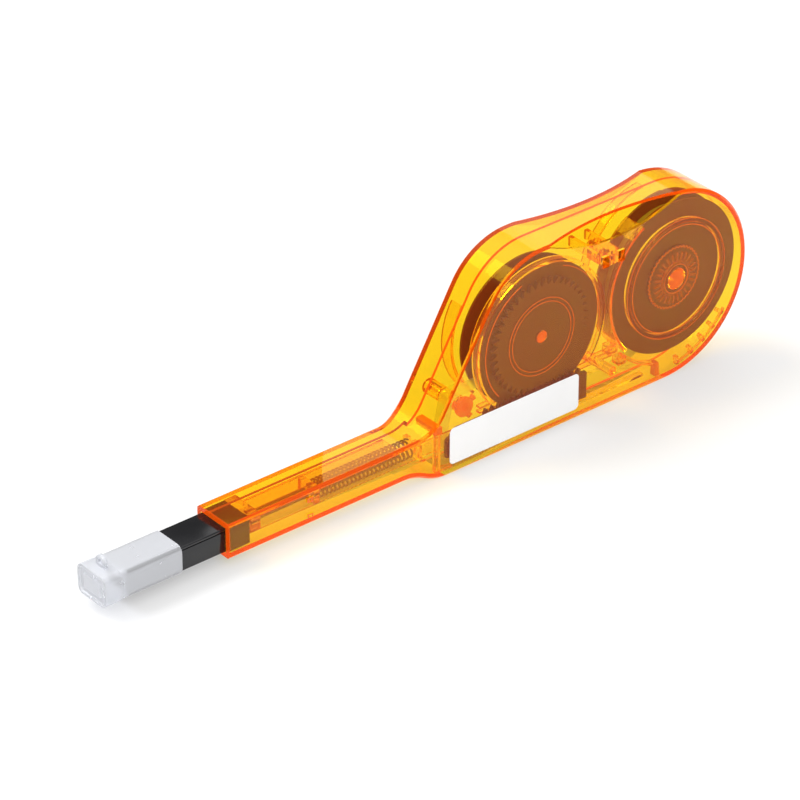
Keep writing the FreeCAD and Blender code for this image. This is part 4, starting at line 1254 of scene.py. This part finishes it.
# --- assembly -------------------------------------------------------------------------------------------
@dataclass
class CadParts:
    """CAD nodes that keep their own shape."""

    slots: dict[str, Slot] = field(default_factory=lambda: {
        "near_shell": Slot.CASING, "far_shell": Slot.CASING, "label": Slot.LABEL, "tip_core": Slot.TIP,
        "carriage": Slot.CASING, "spring_rod": Slot.STEEL, "rack_bar": Slot.REEL,
        "drive_gear": Slot.REEL, "drive_pawl": Slot.REEL,
        "take_up_reel": Slot.REEL, "take_up_tape": Slot.TAPE,
        "supply_reel": Slot.REEL, "supply_tape": Slot.TAPE,
        "nose_tape": Slot.TAPE, "supply_run": Slot.TAPE, "return_run": Slot.TAPE,
    })

    def build(self, paint: Paint) -> None:
        """Finishes the nodes.

        Args:
            paint: The finishes.
        """
        for name, slot in self.slots.items():
            paint.node(name, slot)


# --- studio ---------------------------------------------------------------------------------------------
@dataclass
class Studio:
    """Pale floor, soft light and the camera."""

    camera_place: Vector = field(default_factory=lambda: Vector((-0.7002, -0.8356, 0.6887)))
    azimuth: float = math.radians(-39.62)
    elevation: float = math.radians(31.45)
    lens: float = 202.5
    floor_size: float = 6.0
    sky: tuple[float, float, float, float] = (0.55, 0.8, 0.15, 1.3)
    bounces: int = 40
    aim: Vector = field(default_factory=lambda: Vector((0.0, 0.0, 0.03)))
    lamps: tuple[tuple[str, Point, float, float], ...] = (
        ("key", (-0.45, 0.8, 1.3), 0.8, 14.0),
        ("fill", (-0.3, -1.1, 1.0), 1.0, 9.0),
        ("gloss", (0.36, 0.34, 0.34), 0.2, 0.11),
    )

    def build(self) -> None:
        """Builds the floor, light and camera."""
        self.floor()
        self.light()
        self.camera()

    def floor(self) -> None:
        """Adds the pale floor."""
        deselect()
        bpy.ops.mesh.primitive_plane_add(size=self.floor_size, location=(0, 0, 0))
        floor = bpy.context.object
        floor.name = "floor"
        kit = NodeKit("pale_floor")
        kit.set(Base_Color=(0.5, 0.5, 0.5, 1.0), Roughness=0.6, Specular_IOR_Level=0.0,
                Emission_Color=(1.0, 1.0, 1.0, 1.0), Emission_Strength=0.42)
        floor.data.materials.append(kit.material)

    def light(self) -> None:
        """Adds a surround that is dim low down and bright overhead, and soft lamps."""
        world = bpy.data.worlds.new("surround")
        world.use_nodes = True
        nodes, links = world.node_tree.nodes, world.node_tree.links
        place = nodes.new("ShaderNodeTexCoord")
        split = nodes.new("ShaderNodeSeparateXYZ")
        rise = nodes.new("ShaderNodeMapRange")
        for socket, value in zip(("From Min", "From Max", "To Min", "To Max"), self.sky):
            rise.inputs[socket].default_value = value
        links.new(place.outputs["Generated"], split.inputs["Vector"])
        links.new(split.outputs["Z"], rise.inputs["Value"])
        links.new(rise.outputs["Result"], nodes["Background"].inputs["Strength"])
        nodes["Background"].inputs["Color"].default_value = (1.0, 1.0, 1.0, 1.0)
        scene = bpy.context.scene
        scene.world = world
        scene.view_settings.view_transform = "Standard"
        scene.cycles.max_bounces = self.bounces
        scene.cycles.transmission_bounces = self.bounces
        scene.cycles.transparent_max_bounces = self.bounces
        for name, place, size, power in self.lamps:
            lamp = bpy.data.lights.new(name, "AREA")
            lamp.shape = "DISK"
            lamp.size = size
            lamp.energy = power
            obj = bpy.data.objects.new(name, lamp)
            obj.location = place
            obj.rotation_mode = "QUATERNION"
            obj.rotation_quaternion = (self.aim - Vector(place)).to_track_quat("-Z", "Y")
            obj.visible_glossy = name == "gloss"
            scene.collection.objects.link(obj)

    def camera(self) -> None:
        """Adds the camera, looking along its azimuth and elevation."""
        back = Vector((math.sin(self.azimuth) * math.cos(self.elevation),
                       -math.cos(self.azimuth) * math.cos(self.elevation), math.sin(self.elevation)))
        data = bpy.data.cameras.new("camera")
        data.lens = self.lens
        data.sensor_width = 36.0
        data.clip_start = 0.05
        camera = bpy.data.objects.new("camera", data)
        camera.location = self.camera_place
        camera.rotation_mode = "QUATERNION"
        camera.rotation_quaternion = (-back).to_track_quat("-Z", "Y")
        bpy.context.scene.collection.objects.link(camera)
        bpy.context.scene.camera = camera


def main() -> None:
    """Builds the pen and its studio."""
    logging.basicConfig(level=logging.INFO, format="%(name)s: %(message)s")
    paint = Paint()
    for assembly in (CadParts(), CasingRibs(), GuideRoller(), SupplyHub(), Nose(), Cap(), ReturnSpring()):
        assembly.build(paint)
        LOG.info("finished %s", type(assembly).__name__)
    Studio().build()


if __name__ == "__main__":
    main()
